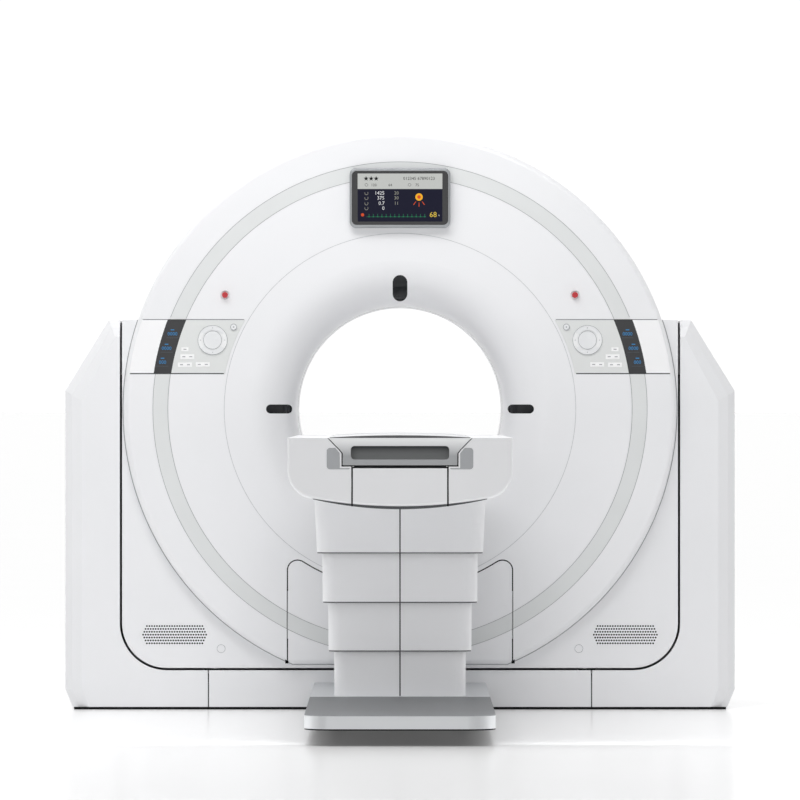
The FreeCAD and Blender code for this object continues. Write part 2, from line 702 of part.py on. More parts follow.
def table_covers():
    outer = prism(table_outline(0.0), table_near_y, table_far_y)
    end = [e for e in outer.Edges if e.BoundBox.YMax < table_near_y + 0.01]
    outer = outer.makeFillet(table_edge_round, [e for e in end if e.BoundBox.ZMin < table_top - 1])
    inner = prism(table_outline(-table_wall), table_near_y + table_wall, table_far_y + 1)
    trough = channel(0.0, table_near_y - 1, table_far_y + 1)
    wall = channel(-table_wall, table_near_y, table_far_y)
    solid_wall = wall.common(inner)
    shell = outer.cut(inner).fuse(solid_wall).cut(trough)
    middle_x = end_panel_half_width + end_seam / 2
    shell = shell.cut(box(-middle_x, middle_x, table_near_y - 1, table_far_y + 1, 600, 900))
    pad_back = table_near_y + pad_depth
    pads = pad_solid(0.0, table_near_y, pad_back)
    shell = shell.cut(pad_solid(fit, table_near_y - 1, pad_back))
    right = shell.common(box(0, reach, -reach, reach, 0, reach))
    save("table_shells", both_sides(right))
    save("table_end_pads", pads)
    panel_x = end_panel_half_width - end_seam / 2
    strip = outer.cut(inner)
    strip = strip.common(box(-panel_x, panel_x, -reach, reach, 0, channel_bottom - end_seam))
    opening = lift_half[3] + 20
    strip = strip.cut(box(-panel_x - 1, panel_x + 1, lift_y - opening, lift_y + opening, 0, 760))
    save("table_end_panel", strip)


def pad_solid(grow, y0, y1):
    """The two grey end pads, which wrap around the bend of the cradle channel."""
    right = rounded_box(pad_x[0] - grow, pad_x[1] + grow, y0, y1, pad_z[0] - grow, pad_z[1] + grow,
                        pad_corner_r, V(0, 1, 0))
    inside = channel(grow - 5.0, y0 - 1, y1 + 1)
    right = right.cut(inside).common(box(pad_x[0] - grow, reach, y0, y1, 0, reach))
    return both_sides(right)


def table_frame():
    rail_x = 120.0
    y0 = table_near_y + 40
    y1 = table_far_y - 10
    rail = box(rail_x - 22, rail_x + 22, y0, y1, 742, rail_top)
    cross = [box(-rail_x, rail_x, y, y + 60, 745, 800) for y in (y0, lift_y - 150, lift_y + 90, y1 - 60)]
    frame = rail.fuse(mirror_x(rail))
    for piece in cross:
        frame = frame.fuse(piece)
    for y in (y0, y1 - 60):
        cross.append(box(-30, 30, y, y + 60, belly_z + table_wall + 2 * fit, 746))
    for piece in cross[-2:]:
        frame = frame.fuse(piece)
    plate = box(-170, 170, lift_y - 170, lift_y + 170, 735, 745)
    outer_half = table_wall_x(bracket_foot) - fit
    brackets = []
    for y in (y0 + 250, lift_y, y1 - 250):
        brackets.append(box(-outer_half, outer_half, y, y + 40, bracket_foot, rail_top))
    frame = frame.fuse(plate)
    for piece in brackets:
        frame = frame.fuse(piece)
    support = box(-150, 150, y1 - 40, y1, 800, 835)
    frame = frame.fuse(support)
    save("table_frame", frame.removeSplitter())


def cradle():
    carriage_y = (table_near_y + cap_length + 20, table_near_y + cap_length + 320)
    carriage_x = end_panel_half_width - 4.0
    carriage = box(-carriage_x, carriage_x, carriage_y[0], carriage_y[1], rail_top + fit, 860)
    save("cradle_carriage", carriage)
    cap_outline = channel(end_seam / 2 + 1.5, table_near_y, table_near_y + cap_length)
    cap = cap_outline.common(box(-reach, reach, -reach, 0, 0, table_top))
    slot = rounded_box(-handle_half_width, handle_half_width, table_near_y - 1, table_near_y + handle_depth,
                       handle_z[0], handle_z[1], 12.0, V(0, 1, 0))
    save("cradle_end_cap", cap.cut(slot))
    y0 = table_near_y + cap_length
    body = channel(end_seam / 2 + 1.5, y0, cradle_far_y)
    body = body.common(box(-reach, reach, -reach, 0, 890, table_top))
    step = box(-150, 150, carriage_y[0], carriage_y[1], 860, 891)
    body = body.fuse(step).removeSplitter()
    tip = body.common(box(-400, 400, cradle_far_y - 120, cradle_far_y, 0, 1200))
    nose = [V(-400, cradle_far_y - 120, 0), V(-120, cradle_far_y, 0), V(120, cradle_far_y, 0),
            V(400, cradle_far_y - 120, 0), V(400, -reach, 0), V(-400, -reach, 0)]
    plan = Part.Face(Part.makePolygon(nose + nose[:1])).extrude(V(0, 0, 1200))
    save("cradle_top", body.common(plan))
    half = channel_top_x - 8.0
    low = table_top + fit
    edges = [
        line((-half, low), (half, low)),
        line((half, low), (half, low + 1.5)),
        arc((half, low + 1.5), (0, low + mat_crown), (-half, low + 1.5)),
        line((-half, low + 1.5), (-half, low)),
    ]
    mat = prism(edges, table_near_y + 3, cradle_far_y - 20)
    save("cradle_mat", mat.common(plan.translated(V(0, -15, 0))))


def column_ring(half_x, inset_y, z):
    """Rounded rectangle of the column at one height."""
    y0 = column_front + inset_y
    y1 = column_rear - inset_y
    r = column_corner_r
    t = r * (1.0 - math.sqrt(0.5))
    x = half_x
    edges = [
        Part.LineSegment(V(-x + r, y0, z), V(x - r, y0, z)).toShape(),
        Part.Arc(V(x - r, y0, z), V(x - t, y0 + t, z), V(x, y0 + r, z)).toShape(),
        Part.LineSegment(V(x, y0 + r, z), V(x, y1 - r, z)).toShape(),
        Part.Arc(V(x, y1 - r, z), V(x - t, y1 - t, z), V(x - r, y1, z)).toShape(),
        Part.LineSegment(V(x - r, y1, z), V(-x + r, y1, z)).toShape(),
        Part.Arc(V(-x + r, y1, z), V(-x + t, y1 - t, z), V(-x, y1 - r, z)).toShape(),
        Part.LineSegment(V(-x, y1 - r, z), V(-x, y0 + r, z)).toShape(),
        Part.Arc(V(-x, y0 + r, z), V(-x + t, y0 + t, z), V(-x + r, y0, z)).toShape(),
    ]
    return Part.Wire(edges)


def column_stack(sections):
    """Solid through several sections, each a half width and a height.

    The front and the rear taper as the sides do.
    """
    widest = column_high[-1]
    wires = [column_ring(half, widest - half, z) for half, z in sections]
    return Part.makeLoft(wires, True, True)


def column_cover(level):
    low, high = column_low[level], column_high[level]
    z0, z1 = column_z[level], column_z[level + 1]
    outer = [(low, z0), (high, z1)]
    inner = [(high - column_wall, z1)]
    if level < 3:
        outer.append((high, z1 + column_hidden))
        inner.append((high - column_wall, z1 + column_hidden + 1))
    foot_z = z0 + lip_height if level > 0 else z0 - 1
    inner.insert(0, (low - column_wall, foot_z))
    shell = column_stack(outer).cut(column_stack(inner))
    if level > 0:
        throat = column_high[level - 1] + lip_gap
        shell = shell.cut(column_stack([(throat, z0 - 1), (throat, foot_z + 1)]))
    if level == 3:
        shell = shell.cut(prism(table_outline(fit), -reach, 0))
    shell = shell.cut(box(-column_seam / 2, column_seam / 2, -reach, 0, 0, reach))
    return Part.makeCompound(shell.Solids)


def column():
    for level, name in enumerate(("lower", "second", "third", "upper")):
        save("column_cover_" + name, column_cover(level))
        half = lift_half[level]
        z0 = lift_foot[level]
        z1 = z0 + lift_length if level < 3 else 735.0
        tube = rounded_box(-half, half, lift_y - half, lift_y + half, z0, z1, 6.0, V(0, 0, 1))
        hollow = half - lift_wall
        tube = tube.cut(box(-hollow, hollow, lift_y - hollow, lift_y + hollow, z0 - 1, z1 + 1))
        save("lift_tube_" + name, tube)


def table_base():
    far_y = -cover_half_depth - joint_gap
    plate = box(-base_half_width, base_half_width, table_near_y, far_y, base_z[0], base_z[1])
    upright = [e for e in plate.Edges if abs(e.tangentAt(e.FirstParameter).z) > 0.99]
    near = [e for e in upright if e.BoundBox.YMax < table_near_y + 1]
    plate = plate.makeFillet(base_corner_r, near)
    save("table_base_plate", plate)
    feet = []
    for y in foot_rows:
        for x in (-foot_x, foot_x):
            foot = cylinder_z(foot_r, 0, foot_disc, x, y)
            foot = foot.fuse(cylinder_z(foot_stem_r, foot_disc, base_z[0], x, y))
            feet.append(foot.removeSplitter())
    save("base_plate_feet", Part.makeCompound(feet))


base_frame()
pedestal_frames()
pedestal_covers()
front_drum()
funnels()
panels()
display()
controls()
stator()
rotor()
drive()
table_covers()
table_frame()
cradle()
column()
table_base()
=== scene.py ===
import bpy
import bmesh
import math
import json
from mathutils import Vector, Matrix


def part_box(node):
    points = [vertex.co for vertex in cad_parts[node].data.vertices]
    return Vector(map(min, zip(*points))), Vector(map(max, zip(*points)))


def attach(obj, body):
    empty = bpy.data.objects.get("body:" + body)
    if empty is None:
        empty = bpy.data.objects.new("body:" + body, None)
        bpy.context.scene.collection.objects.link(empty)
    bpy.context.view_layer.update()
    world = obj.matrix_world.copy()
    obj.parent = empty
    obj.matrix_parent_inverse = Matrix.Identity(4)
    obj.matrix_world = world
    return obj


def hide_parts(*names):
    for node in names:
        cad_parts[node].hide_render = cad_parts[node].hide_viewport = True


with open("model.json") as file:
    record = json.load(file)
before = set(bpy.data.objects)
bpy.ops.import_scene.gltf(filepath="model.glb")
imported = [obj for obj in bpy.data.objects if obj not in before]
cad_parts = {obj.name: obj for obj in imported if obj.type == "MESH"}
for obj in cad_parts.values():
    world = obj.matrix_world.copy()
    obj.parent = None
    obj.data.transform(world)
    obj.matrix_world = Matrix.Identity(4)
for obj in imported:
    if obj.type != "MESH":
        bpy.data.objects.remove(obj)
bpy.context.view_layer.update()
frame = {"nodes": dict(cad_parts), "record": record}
nodes = frame["nodes"]

mm = 0.001
fullTurn = 2 * math.pi
closeBy = 0.00001  # points nearer than this are one point
boreZ = 1.013  # height of the bore's centre line
panelTop, panelBottom = 1.313, 1.134  # heights of the control panels' edges
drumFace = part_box("front_drum_cover")[0][1]
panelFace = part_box("front_panel")[0][1]
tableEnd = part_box("table_shells")[0][1]


def linear(hexText):
    # sRGB hex to linear colour
    parts = [int(hexText[i:i + 2], 16) / 255 for i in (1, 3, 5)]
    return tuple(c / 12.92 if c <= 0.04045 else ((c + 0.055) / 1.055) ** 2.4 for c in parts) + (1.0,)


def wide(sizeMm):
    # the texture scale that makes one lump, cell or band this many millimetres wide
    return 1.0 / (sizeMm * mm)


def addNode(tree, kind, settings=None, links=None, feeds=None):
    # settings go on the node or its sockets, links come in from other nodes, feeds go out to the shader
    node = tree.nodes.new(kind)
    for key, value in (settings or {}).items():
        if isinstance(key, int) or key in node.inputs:
            node.inputs[key].default_value = value
        else:
            setattr(node, key, value)
    for key, (other, output) in (links or {}).items():
        tree.links.new(other.outputs[output], node.inputs[key])
    for key, output in (feeds or {}).items():
        tree.links.new(node.outputs[output], tree.nodes["Principled BSDF"].inputs[key])
    return node


def newMaterial(name, settings):
    # a Principled shader with its fixed values on its own sockets
    material = bpy.data.materials.new(name)
    material.use_nodes = True
    tree = material.node_tree
    for key, value in settings.items():
        tree.nodes["Principled BSDF"].inputs[key].default_value = value
    coords = (addNode(tree, "ShaderNodeTexCoord"), "Object")
    return material, tree, coords


coverPaint = {"light": "#F4F4F6", "shade": "#EFF0F2", "driftMm": 420.0, "wearMm": 90.0, "wear": (0.3, 0.75),
              "roughness": (0.33, 0.45), "peelMm": 2.6, "peelDeep": 0.05, "peelStrength": 0.35}


def sprayedCover():
    # two-pack paint sprayed on moulded covers: satin, a faint orange peel, a slow drift in tone
    material, tree, coords = newMaterial("sprayedCover", {"IOR": 1.5, "Coat Weight": 0.18, "Coat Roughness": 0.22})
    drift = addNode(tree, "ShaderNodeTexNoise", {"Scale": wide(coverPaint["driftMm"]), "Detail": 2.0},
                    {"Vector": coords})
    addNode(tree, "ShaderNodeMix", {"data_type": "RGBA", 6: linear(coverPaint["shade"]),
                                    7: linear(coverPaint["light"])}, {0: (drift, "Fac")}, {"Base Color": 2})
    wear = addNode(tree, "ShaderNodeTexNoise", {"Scale": wide(coverPaint["wearMm"]), "Detail": 6.0},
                   {"Vector": coords})
    addNode(tree, "ShaderNodeMapRange",
            {"From Min": coverPaint["wear"][0], "From Max": coverPaint["wear"][1],
             "To Min": coverPaint["roughness"][0], "To Max": coverPaint["roughness"][1]},
            {"Value": (wear, "Fac")}, {"Roughness": 0})
    peel = addNode(tree, "ShaderNodeTexNoise", {"Scale": wide(coverPaint["peelMm"]), "Detail": 2.0},
                   {"Vector": coords})
    addNode(tree, "ShaderNodeBump", {"Strength": coverPaint["peelStrength"], "Distance": coverPaint["peelDeep"] * mm},
            {"Height": (peel, "Fac")}, {"Normal": "Normal"})
    return material


inlayVinyl = {"light": "#E6E8E8", "shade": "#DFE1E1", "driftMm": 160.0, "grainMm": 0.9, "grainDeep": 0.02}


def inlayStrip():
    # calendered grey vinyl strip laid in its groove: even, a little softer than the paint
    material, tree, coords = newMaterial("inlayStrip", {"Roughness": 0.42, "IOR": 1.48})
    drift = addNode(tree, "ShaderNodeTexNoise", {"Scale": wide(inlayVinyl["driftMm"]), "Detail": 2.0},
                    {"Vector": coords})
    addNode(tree, "ShaderNodeMix", {"data_type": "RGBA", 6: linear(inlayVinyl["shade"]),
                                    7: linear(inlayVinyl["light"])}, {0: (drift, "Fac")}, {"Base Color": 2})
    grain = addNode(tree, "ShaderNodeTexNoise", {"Scale": wide(inlayVinyl["grainMm"]), "Detail": 2.0},
                    {"Vector": coords})
    addNode(tree, "ShaderNodeBump", {"Strength": 0.3, "Distance": inlayVinyl["grainDeep"] * mm},
            {"Height": (grain, "Fac")}, {"Normal": "Normal"})
    return material


silverPaint = {"light": "#A9ACAF", "shade": "#9DA0A3", "flakeMm": 1.2, "roughness": (0.3, 0.46), "driftMm": 60.0}


def silverLacquer():
    # silver paint on plastic under a satin lacquer: fine flakes that glint, drawn coarse enough to show
    material, tree, coords = newMaterial("housingSilver", {"Metallic": 0.5, "Coat Weight": 0.25,
                                                           "Coat Roughness": 0.2})
    flakes = addNode(tree, "ShaderNodeTexVoronoi", {"Scale": wide(silverPaint["flakeMm"])}, {"Vector": coords})
    addNode(tree, "ShaderNodeMapRange",
            {"From Min": 0.0, "From Max": 0.7, "To Min": silverPaint["roughness"][0],
             "To Max": silverPaint["roughness"][1]}, {"Value": (flakes, "Distance")}, {"Roughness": 0})
    drift = addNode(tree, "ShaderNodeTexNoise", {"Scale": wide(silverPaint["driftMm"]), "Detail": 2.0},
                    {"Vector": coords})
    addNode(tree, "ShaderNodeMix", {"data_type": "RGBA", 6: linear(silverPaint["shade"]),
                                    7: linear(silverPaint["light"])}, {0: (drift, "Fac")}, {"Base Color": 2})
    return material


def plainMoulding(name, light, shade, roughness, grainMm=1.4, heightMm=0.05, metallic=0.0, specular=0.5):
    # moulded or cast part with a fine even grain, and a cloudy tone that keeps it from looking flat
    material, tree, coords = newMaterial(name, {"Roughness": roughness, "Metallic": metallic,
                                                "Specular IOR Level": specular})
    cloud = addNode(tree, "ShaderNodeTexNoise", {"Scale": wide(40.0), "Detail": 4.0}, {"Vector": coords})
    addNode(tree, "ShaderNodeMix", {"data_type": "RGBA", 6: linear(shade), 7: linear(light)},
            {0: (cloud, "Fac")}, {"Base Color": 2})
    grain = addNode(tree, "ShaderNodeTexNoise", {"Scale": wide(grainMm), "Detail": 2.0}, {"Vector": coords})
    addNode(tree, "ShaderNodeBump", {"Strength": 0.5, "Distance": heightMm * mm},
            {"Height": (grain, "Fac")}, {"Normal": "Normal"})
    return material


# the edge colour is a painted shadow line along the plate's lower edge
plateFinish = {"topLight": "#8A8C8E", "topDark": "#6E7072", "rear": "#DFE1E3", "rearFrom": -1.62,
               "rim": "#E0E2E4", "edge": "#1C1D1E", "shadowEdgeBelow": 0.051, "lineMm": 0.8, "lengthMm": 260.0,
               "lineDeep": 0.02, "roughness": (0.3, 0.42)}


def brushedPlate():
    # stainless plate: its top is brushed across and darker in front, its rim is polished bright, its lower edge
    # painted dark as painted shadow under the plate
    material, tree, coords = newMaterial("brushedPlate", {"Metallic": 1.0})
    across, along = wide(plateFinish["lineMm"]), wide(plateFinish["lengthMm"])
    stretch = addNode(tree, "ShaderNodeMapping", {"Scale": (along, across, across)}, {"Vector": coords})
    lines = addNode(tree, "ShaderNodeTexNoise", {"Scale": 1.0, "Detail": 3.0}, {"Vector": (stretch, "Vector")})
    place = addNode(tree, "ShaderNodeSeparateXYZ", {}, {0: coords})
    isRear = addNode(tree, "ShaderNodeMath", {"operation": "GREATER_THAN", 1: plateFinish["rearFrom"]},
                     {0: (place, "Y")})
    # the rim's lowest band is painted near black: painted shadow
    isShadowEdge = addNode(tree, "ShaderNodeMath", {"operation": "LESS_THAN", 1: plateFinish["shadowEdgeBelow"]},
                     {0: (place, "Z")})
    shape = addNode(tree, "ShaderNodeNewGeometry")
    facing = addNode(tree, "ShaderNodeSeparateXYZ", {}, {0: (shape, "Normal")})
    isTop = addNode(tree, "ShaderNodeMapRange", {"From Min": 0.5, "From Max": 0.9, "To Min": 0.0, "To Max": 1.0},
                    {"Value": (facing, "Z")})
    front = addNode(tree, "ShaderNodeMix", {"data_type": "RGBA", 6: linear(plateFinish["topDark"]),
                                            7: linear(plateFinish["topLight"])}, {0: (lines, "Fac")})
    top = addNode(tree, "ShaderNodeMix", {"data_type": "RGBA", 7: linear(plateFinish["rear"])},
                  {0: (isRear, 0), 6: (front, 2)})
    body = addNode(tree, "ShaderNodeMix", {"data_type": "RGBA", 6: linear(plateFinish["rim"])},
                   {0: (isTop, 0), 7: (top, 2)})
    addNode(tree, "ShaderNodeMix", {"data_type": "RGBA", 7: linear(plateFinish["edge"])},
            {0: (isShadowEdge, 0), 6: (body, 2)}, {"Base Color": 2})
    addNode(tree, "ShaderNodeMapRange",
            {"From Min": 0.0, "From Max": 1.0, "To Min": plateFinish["roughness"][0],
             "To Max": plateFinish["roughness"][1]}, {"Value": (isTop, 0)}, {"Roughness": 0})
    addNode(tree, "ShaderNodeBump", {"Strength": 0.4, "Distance": plateFinish["lineDeep"] * mm},
            {"Height": (lines, "Fac")}, {"Normal": "Normal"})
    return material


def paintedShadeByHeight(name, low, high, dark, light, roughness):
    # satin paint whose colour runs from one tone at the low height to another at the high one: painted shade and
    # light
    material, tree, coords = newMaterial(name, {"Roughness": roughness, "Metallic": 0.2})
    place = addNode(tree, "ShaderNodeSeparateXYZ", {}, {0: coords})
    height = addNode(tree, "ShaderNodeMapRange", {"From Min": low, "From Max": high, "To Min": 0.0, "To Max": 1.0},
                     {"Value": (place, "Z")})
    addNode(tree, "ShaderNodeMix", {"data_type": "RGBA", 6: linear(dark), 7: linear(light)},
            {0: (height, 0)}, {"Base Color": 2})
    grain = addNode(tree, "ShaderNodeTexNoise", {"Scale": wide(1.2), "Detail": 2.0}, {"Vector": coords})
    addNode(tree, "ShaderNodeBump", {"Strength": 0.3, "Distance": 0.02 * mm},
            {"Height": (grain, "Fac")}, {"Normal": "Normal"})
    return material


def smokedGlass(name, dark, light):
    # dark filter glass: near black with a clean gloss
    material, tree, coords = newMaterial(name, {"Roughness": 0.06, "IOR": 1.52, "Specular IOR Level": 0.3})
    cloud = addNode(tree, "ShaderNodeTexNoise", {"Scale": wide(25.0), "Detail": 1.0}, {"Vector": coords})
    addNode(tree, "ShaderNodeMix", {"data_type": "RGBA", 6: linear(dark), 7: linear(light)},
            {0: (cloud, "Fac")}, {"Base Color": 2})
    return material


overlayFilm = {"outer": "#FBFBFC", "band": "#222326", "keys": "#E2E4E3", "bandR": (0.7795, 0.838),
               "grainMm": 0.8, "grainDeep": 0.015}


def controlOverlay():
    # printed polyester overlay: its three fields are rings about the bore
    material, tree, coords = newMaterial("controlOverlay", {"Roughness": 0.36, "IOR": 1.55, "Coat Weight": 0.2,
                                                            "Coat Roughness": 0.15})
    centred = addNode(tree, "ShaderNodeMapping", {"Location": (0.0, 0.0, -boreZ), "Scale": (1.0, 0.0, 1.0)},
                      {"Vector": coords})
    radius = addNode(tree, "ShaderNodeVectorMath", {"operation": "LENGTH"}, {0: (centred, "Vector")})
    isBand, isOuter = [addNode(tree, "ShaderNodeMath", {"operation": "GREATER_THAN", 1: edge},
                               {0: (radius, "Value")}) for edge in overlayFilm["bandR"]]
    within = addNode(tree, "ShaderNodeMix", {"data_type": "RGBA", 6: linear(overlayFilm["keys"]),
                                             7: linear(overlayFilm["band"])}, {0: (isBand, 0)})
    addNode(tree, "ShaderNodeMix", {"data_type": "RGBA", 7: linear(overlayFilm["outer"])},
            {0: (isOuter, 0), 6: (within, 2)}, {"Base Color": 2})
    grain = addNode(tree, "ShaderNodeTexNoise", {"Scale": wide(overlayFilm["grainMm"]), "Detail": 2.0},
                    {"Vector": coords})
    addNode(tree, "ShaderNodeBump", {"Strength": 0.3, "Distance": overlayFilm["grainDeep"] * mm},
            {"Height": (grain, "Fac")}, {"Normal": "Normal"})
    return material


def litPrint(name, light, shade, strength):
    # lit segment or screen field behind glass, its backlight a little uneven
    material, tree, coords = newMaterial(name, {"Roughness": 0.5, "Emission Strength": strength,
                                                "Base Color": linear("#050506"), "Specular IOR Level": 0.12})
    cloud = addNode(tree, "ShaderNodeTexNoise", {"Scale": wide(12.0), "Detail": 1.0}, {"Vector": coords})
    addNode(tree, "ShaderNodeMix", {"data_type": "RGBA", 6: linear(shade), 7: linear(light)},
            {0: (cloud, "Fac")}, {"Emission Color": 2})
    return material


def paddedVinyl(name, light, shade, sheen, roughness, deepMm, strength, bindingTo=None, binding=None):
    # vinyl embossed with a 2.2 mm leather grain over foam, its near end bound in another tone if one is given
    material, tree, coords = newMaterial(name, {"Roughness": roughness, "Sheen Weight": sheen,
                                                "Sheen Roughness": 0.5})
    cloud = addNode(tree, "ShaderNodeTexNoise", {"Scale": wide(70.0), "Detail": 4.0}, {"Vector": coords})
    tone = addNode(tree, "ShaderNodeMix", {"data_type": "RGBA", 6: linear(shade), 7: linear(light)},
                   {0: (cloud, "Fac")}, {"Base Color": 2})
    if binding:
        place = addNode(tree, "ShaderNodeSeparateXYZ", {}, {0: coords})
        isEnd = addNode(tree, "ShaderNodeMath", {"operation": "LESS_THAN", 1: bindingTo}, {0: (place, "Y")})
        addNode(tree, "ShaderNodeMix", {"data_type": "RGBA", 7: linear(binding)},
                {0: (isEnd, 0), 6: (tone, 2)}, {"Base Color": 2})
    cells = addNode(tree, "ShaderNodeTexVoronoi", {"Scale": wide(2.2)}, {"Vector": coords})
    addNode(tree, "ShaderNodeBump", {"Strength": strength, "Distance": deepMm * mm},
            {"Height": (cells, "Distance")}, {"Normal": "Normal"})
    return material


def carbonWeave():
    # lacquered carbon laminate: diagonal bands that catch the light in turn, about 20 mm apart,
    # drawn coarser than the real twill so that they show (a wave's unit holds three of them)
    material, tree, coords = newMaterial("carbonWeave", {"Roughness": 0.3, "Coat Weight": 0.8,
                                                         "Coat Roughness": 0.08})
    bands = addNode(tree, "ShaderNodeTexWave", {"Scale": wide(60.0), "bands_direction": "DIAGONAL"},
                    {"Vector": coords})
    addNode(tree, "ShaderNodeMix", {"data_type": "RGBA", 6: linear("#1B1C1E"), 7: linear("#2C2D30")},
            {0: (bands, "Fac")}, {"Base Color": 2})
    return material


print("materials")
coverWhite = sprayedCover()
inlayGrey = inlayStrip()
housingSilver = silverLacquer()
# the end cap's silver runs from grey low down to near white high up: painted shade below, painted light on top
capSilverPaintedShade = paintedShadeByHeight("capSilverPaintedShade", 0.872, 0.918, "#A9ABAD", "#F4F5F6", 0.34)
# the grip's liner is dark at its top and grey below: painted shadow in the slot
slotPlasticPaintedShadow = paintedShadeByHeight("slotPlasticPaintedShadow", 0.866, 0.898, "#A2A4A5", "#4A4C4E", 0.45)
plateMetal = brushedPlate()
windowGlass = smokedGlass("windowGlass", "#1B1C1E", "#26272A")  # over the laser lines
bezelGlass = smokedGlass("bezelGlass", "#17181A", "#202123")  # over the display
overlay = controlOverlay()

# rubbers and fillers: matt, the black one almost without gloss
sealRubber = plainMoulding("sealRubber", "#141517", "#0C0D0E", 0.6, specular=0.12)
# dark grey for the lines along the control panels' edges and under the column covers' lips: painted shadow
shadowGrey = plainMoulding("shadowGrey", "#4A4C4E", "#3A3C3E", 0.6)
padRubber = plainMoulding("padRubber", "#B2B4B7", "#A9ABAE", 0.55)
# mid grey for the strip under the table's belly: painted shadow
bellyShadowGrey = plainMoulding("bellyShadowGrey", "#55575A", "#4B4D50", 0.6)
footRubber = plainMoulding("footRubber", "#1B1C1D", "#131415", 0.7)
fillerGrey = plainMoulding("fillerGrey", "#CDCFD1", "#C3C5C7", 0.6)
lineGrey = plainMoulding("lineGrey", "#A9ABAD", "#9FA1A3", 0.6)

# moulded ABS keys and pads: satin, the stop buttons glossy
padGrey = plainMoulding("padGrey", "#F6F7F7", "#EEEFF0", 0.42)
keyWhite = plainMoulding("keyWhite", "#FFFFFF", "#FAFAFB", 0.4)
buttonPlastic = plainMoulding("buttonPlastic", "#F0F1F2", "#E6E8EA", 0.38)
stopRed = plainMoulding("stopRed", "#C3202A", "#B01A22", 0.22, 2.0, 0.01)

# screen inks: flat, a little rougher than the film under them
printGrey = plainMoulding("printGrey", "#9EA1A5", "#94979B", 0.5)
printDim = plainMoulding("printDim", "#4A5058", "#42484F", 0.4)
litBlue = litPrint("litBlue", "#3F8FCB", "#3C8BC6", 0.9)

# metals: powder coated and blackened steel are dull, ground steel is bright, the casting is grainy
frameSteel = plainMoulding("frameSteel", "#3E4145", "#34373A", 0.5, 1.6, 0.08)
darkSteel = plainMoulding("darkSteel", "#2B2D30", "#1F2124", 0.45, 1.2, 0.03, 0.6)
groundSteel = plainMoulding("groundSteel", "#B9BBBE", "#A8AAAD", 0.28, 0.8, 0.01, 1.0)
castAluminium = plainMoulding("castAluminium", "#B4B7BA", "#A3A6A9", 0.48, 1.8, 0.12, 0.8)

# the film's grey is its own tone and also stands in for the shade at the bore's throat: painted shade
windowFilmWithShade = plainMoulding("windowFilmWithShade", "#5E6164", "#55585B", 0.18, 3.0, 0.01)  # tight polyester film: smooth
resinGreen = plainMoulding("resinGreen", "#2F6B4A", "#285C40", 0.5)  # cast glass resin: dull green
slotsByName = {
    "white_cover": coverWhite, "silver_cover": housingSilver, "grey_inlay": inlayGrey,
    "painted_steel": frameSteel, "dark_steel": darkSteel, "bearing_steel": groundSteel,
    "brushed_steel": plateMetal, "cast_aluminium": castAluminium, "grey_rubber": padRubber,
    "black_rubber": sealRubber, "carbon_laminate": carbonWeave(),
    "dark_vinyl": paddedVinyl("tableVinyl", "#484A4D", "#3A3C3F", 0.15, 0.46, 0.15, 0.5),
    "clear_film": windowFilmWithShade, "dark_glass": windowGlass, "panel_film": overlay,
    "slip_ring_resin": resinGreen, "button_white": buttonPlastic, "button_red": stopRed,
}
for row in frame["record"]["subparts"]:
    mesh = nodes[row["node"]].data
    mesh.materials.clear()
    mesh.materials.append(slotsByName[row["material_slot"]])
# the end cap takes the silver with its painted shade and light
nodes["cradle_end_cap"].data.materials[0] = capSilverPaintedShade
nodes["base_plate_feet"].data.materials[0] = footRubber
for name in ("left_ring_pad", "right_ring_pad"):
    nodes[name].data.materials[0] = padGrey


def finishPiece(name, bm, body, material, smooth=False):
    # the bmesh becomes a named object that rides on its body
    bmesh.ops.remove_doubles(bm, verts=bm.verts, dist=closeBy)
    bmesh.ops.recalc_face_normals(bm, faces=bm.faces)
    mesh = bpy.data.meshes.new(name)
    bm.to_mesh(mesh)
    bm.free()
    for face in mesh.polygons:
        face.use_smooth = smooth
    piece = bpy.data.objects.new(name, mesh)
    bpy.context.scene.collection.objects.link(piece)
    mesh.materials.append(material)
    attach(piece, body)
    return piece


def addBlock(bm, low, high, bevel=0.0, segments=3):
    # a block between two corners, its edges rounded if a bevel is given
    size = [h - l for l, h in zip(low, high)]
    middle = Vector([(l + h) / 2 for l, h in zip(low, high)])
    made = bmesh.ops.create_cube(bm, size=1.0)["verts"]
    bmesh.ops.scale(bm, verts=made, vec=size)
    bmesh.ops.translate(bm, verts=made, vec=middle)
    if bevel:
        edges = list({e for v in made for e in v.link_edges})
        bmesh.ops.bevel(bm, geom=edges, offset=bevel, segments=segments, affect="EDGES", profile=0.5, material=-1)


def addDisc(bm, x, z, r, front, back, bevel=0.0, segments=48):
    # a disc about an axis along Y, its front edge rounded if a bevel is given
    turn = Matrix.Rotation(math.pi / 2, 4, "X")
    place = Matrix.Translation((x, (front + back) / 2, z))
    made = bmesh.ops.create_cone(bm, cap_ends=True, segments=segments, radius1=r, radius2=r,
                                 depth=back - front, matrix=place @ turn)["verts"]
    if bevel:
        edges = [e for e in {e for v in made for e in v.link_edges}
                 if all(v.co.y < front + closeBy for v in e.verts)]
        bmesh.ops.bevel(bm, geom=edges, offset=bevel, segments=4, affect="EDGES", profile=0.5, material=-1)


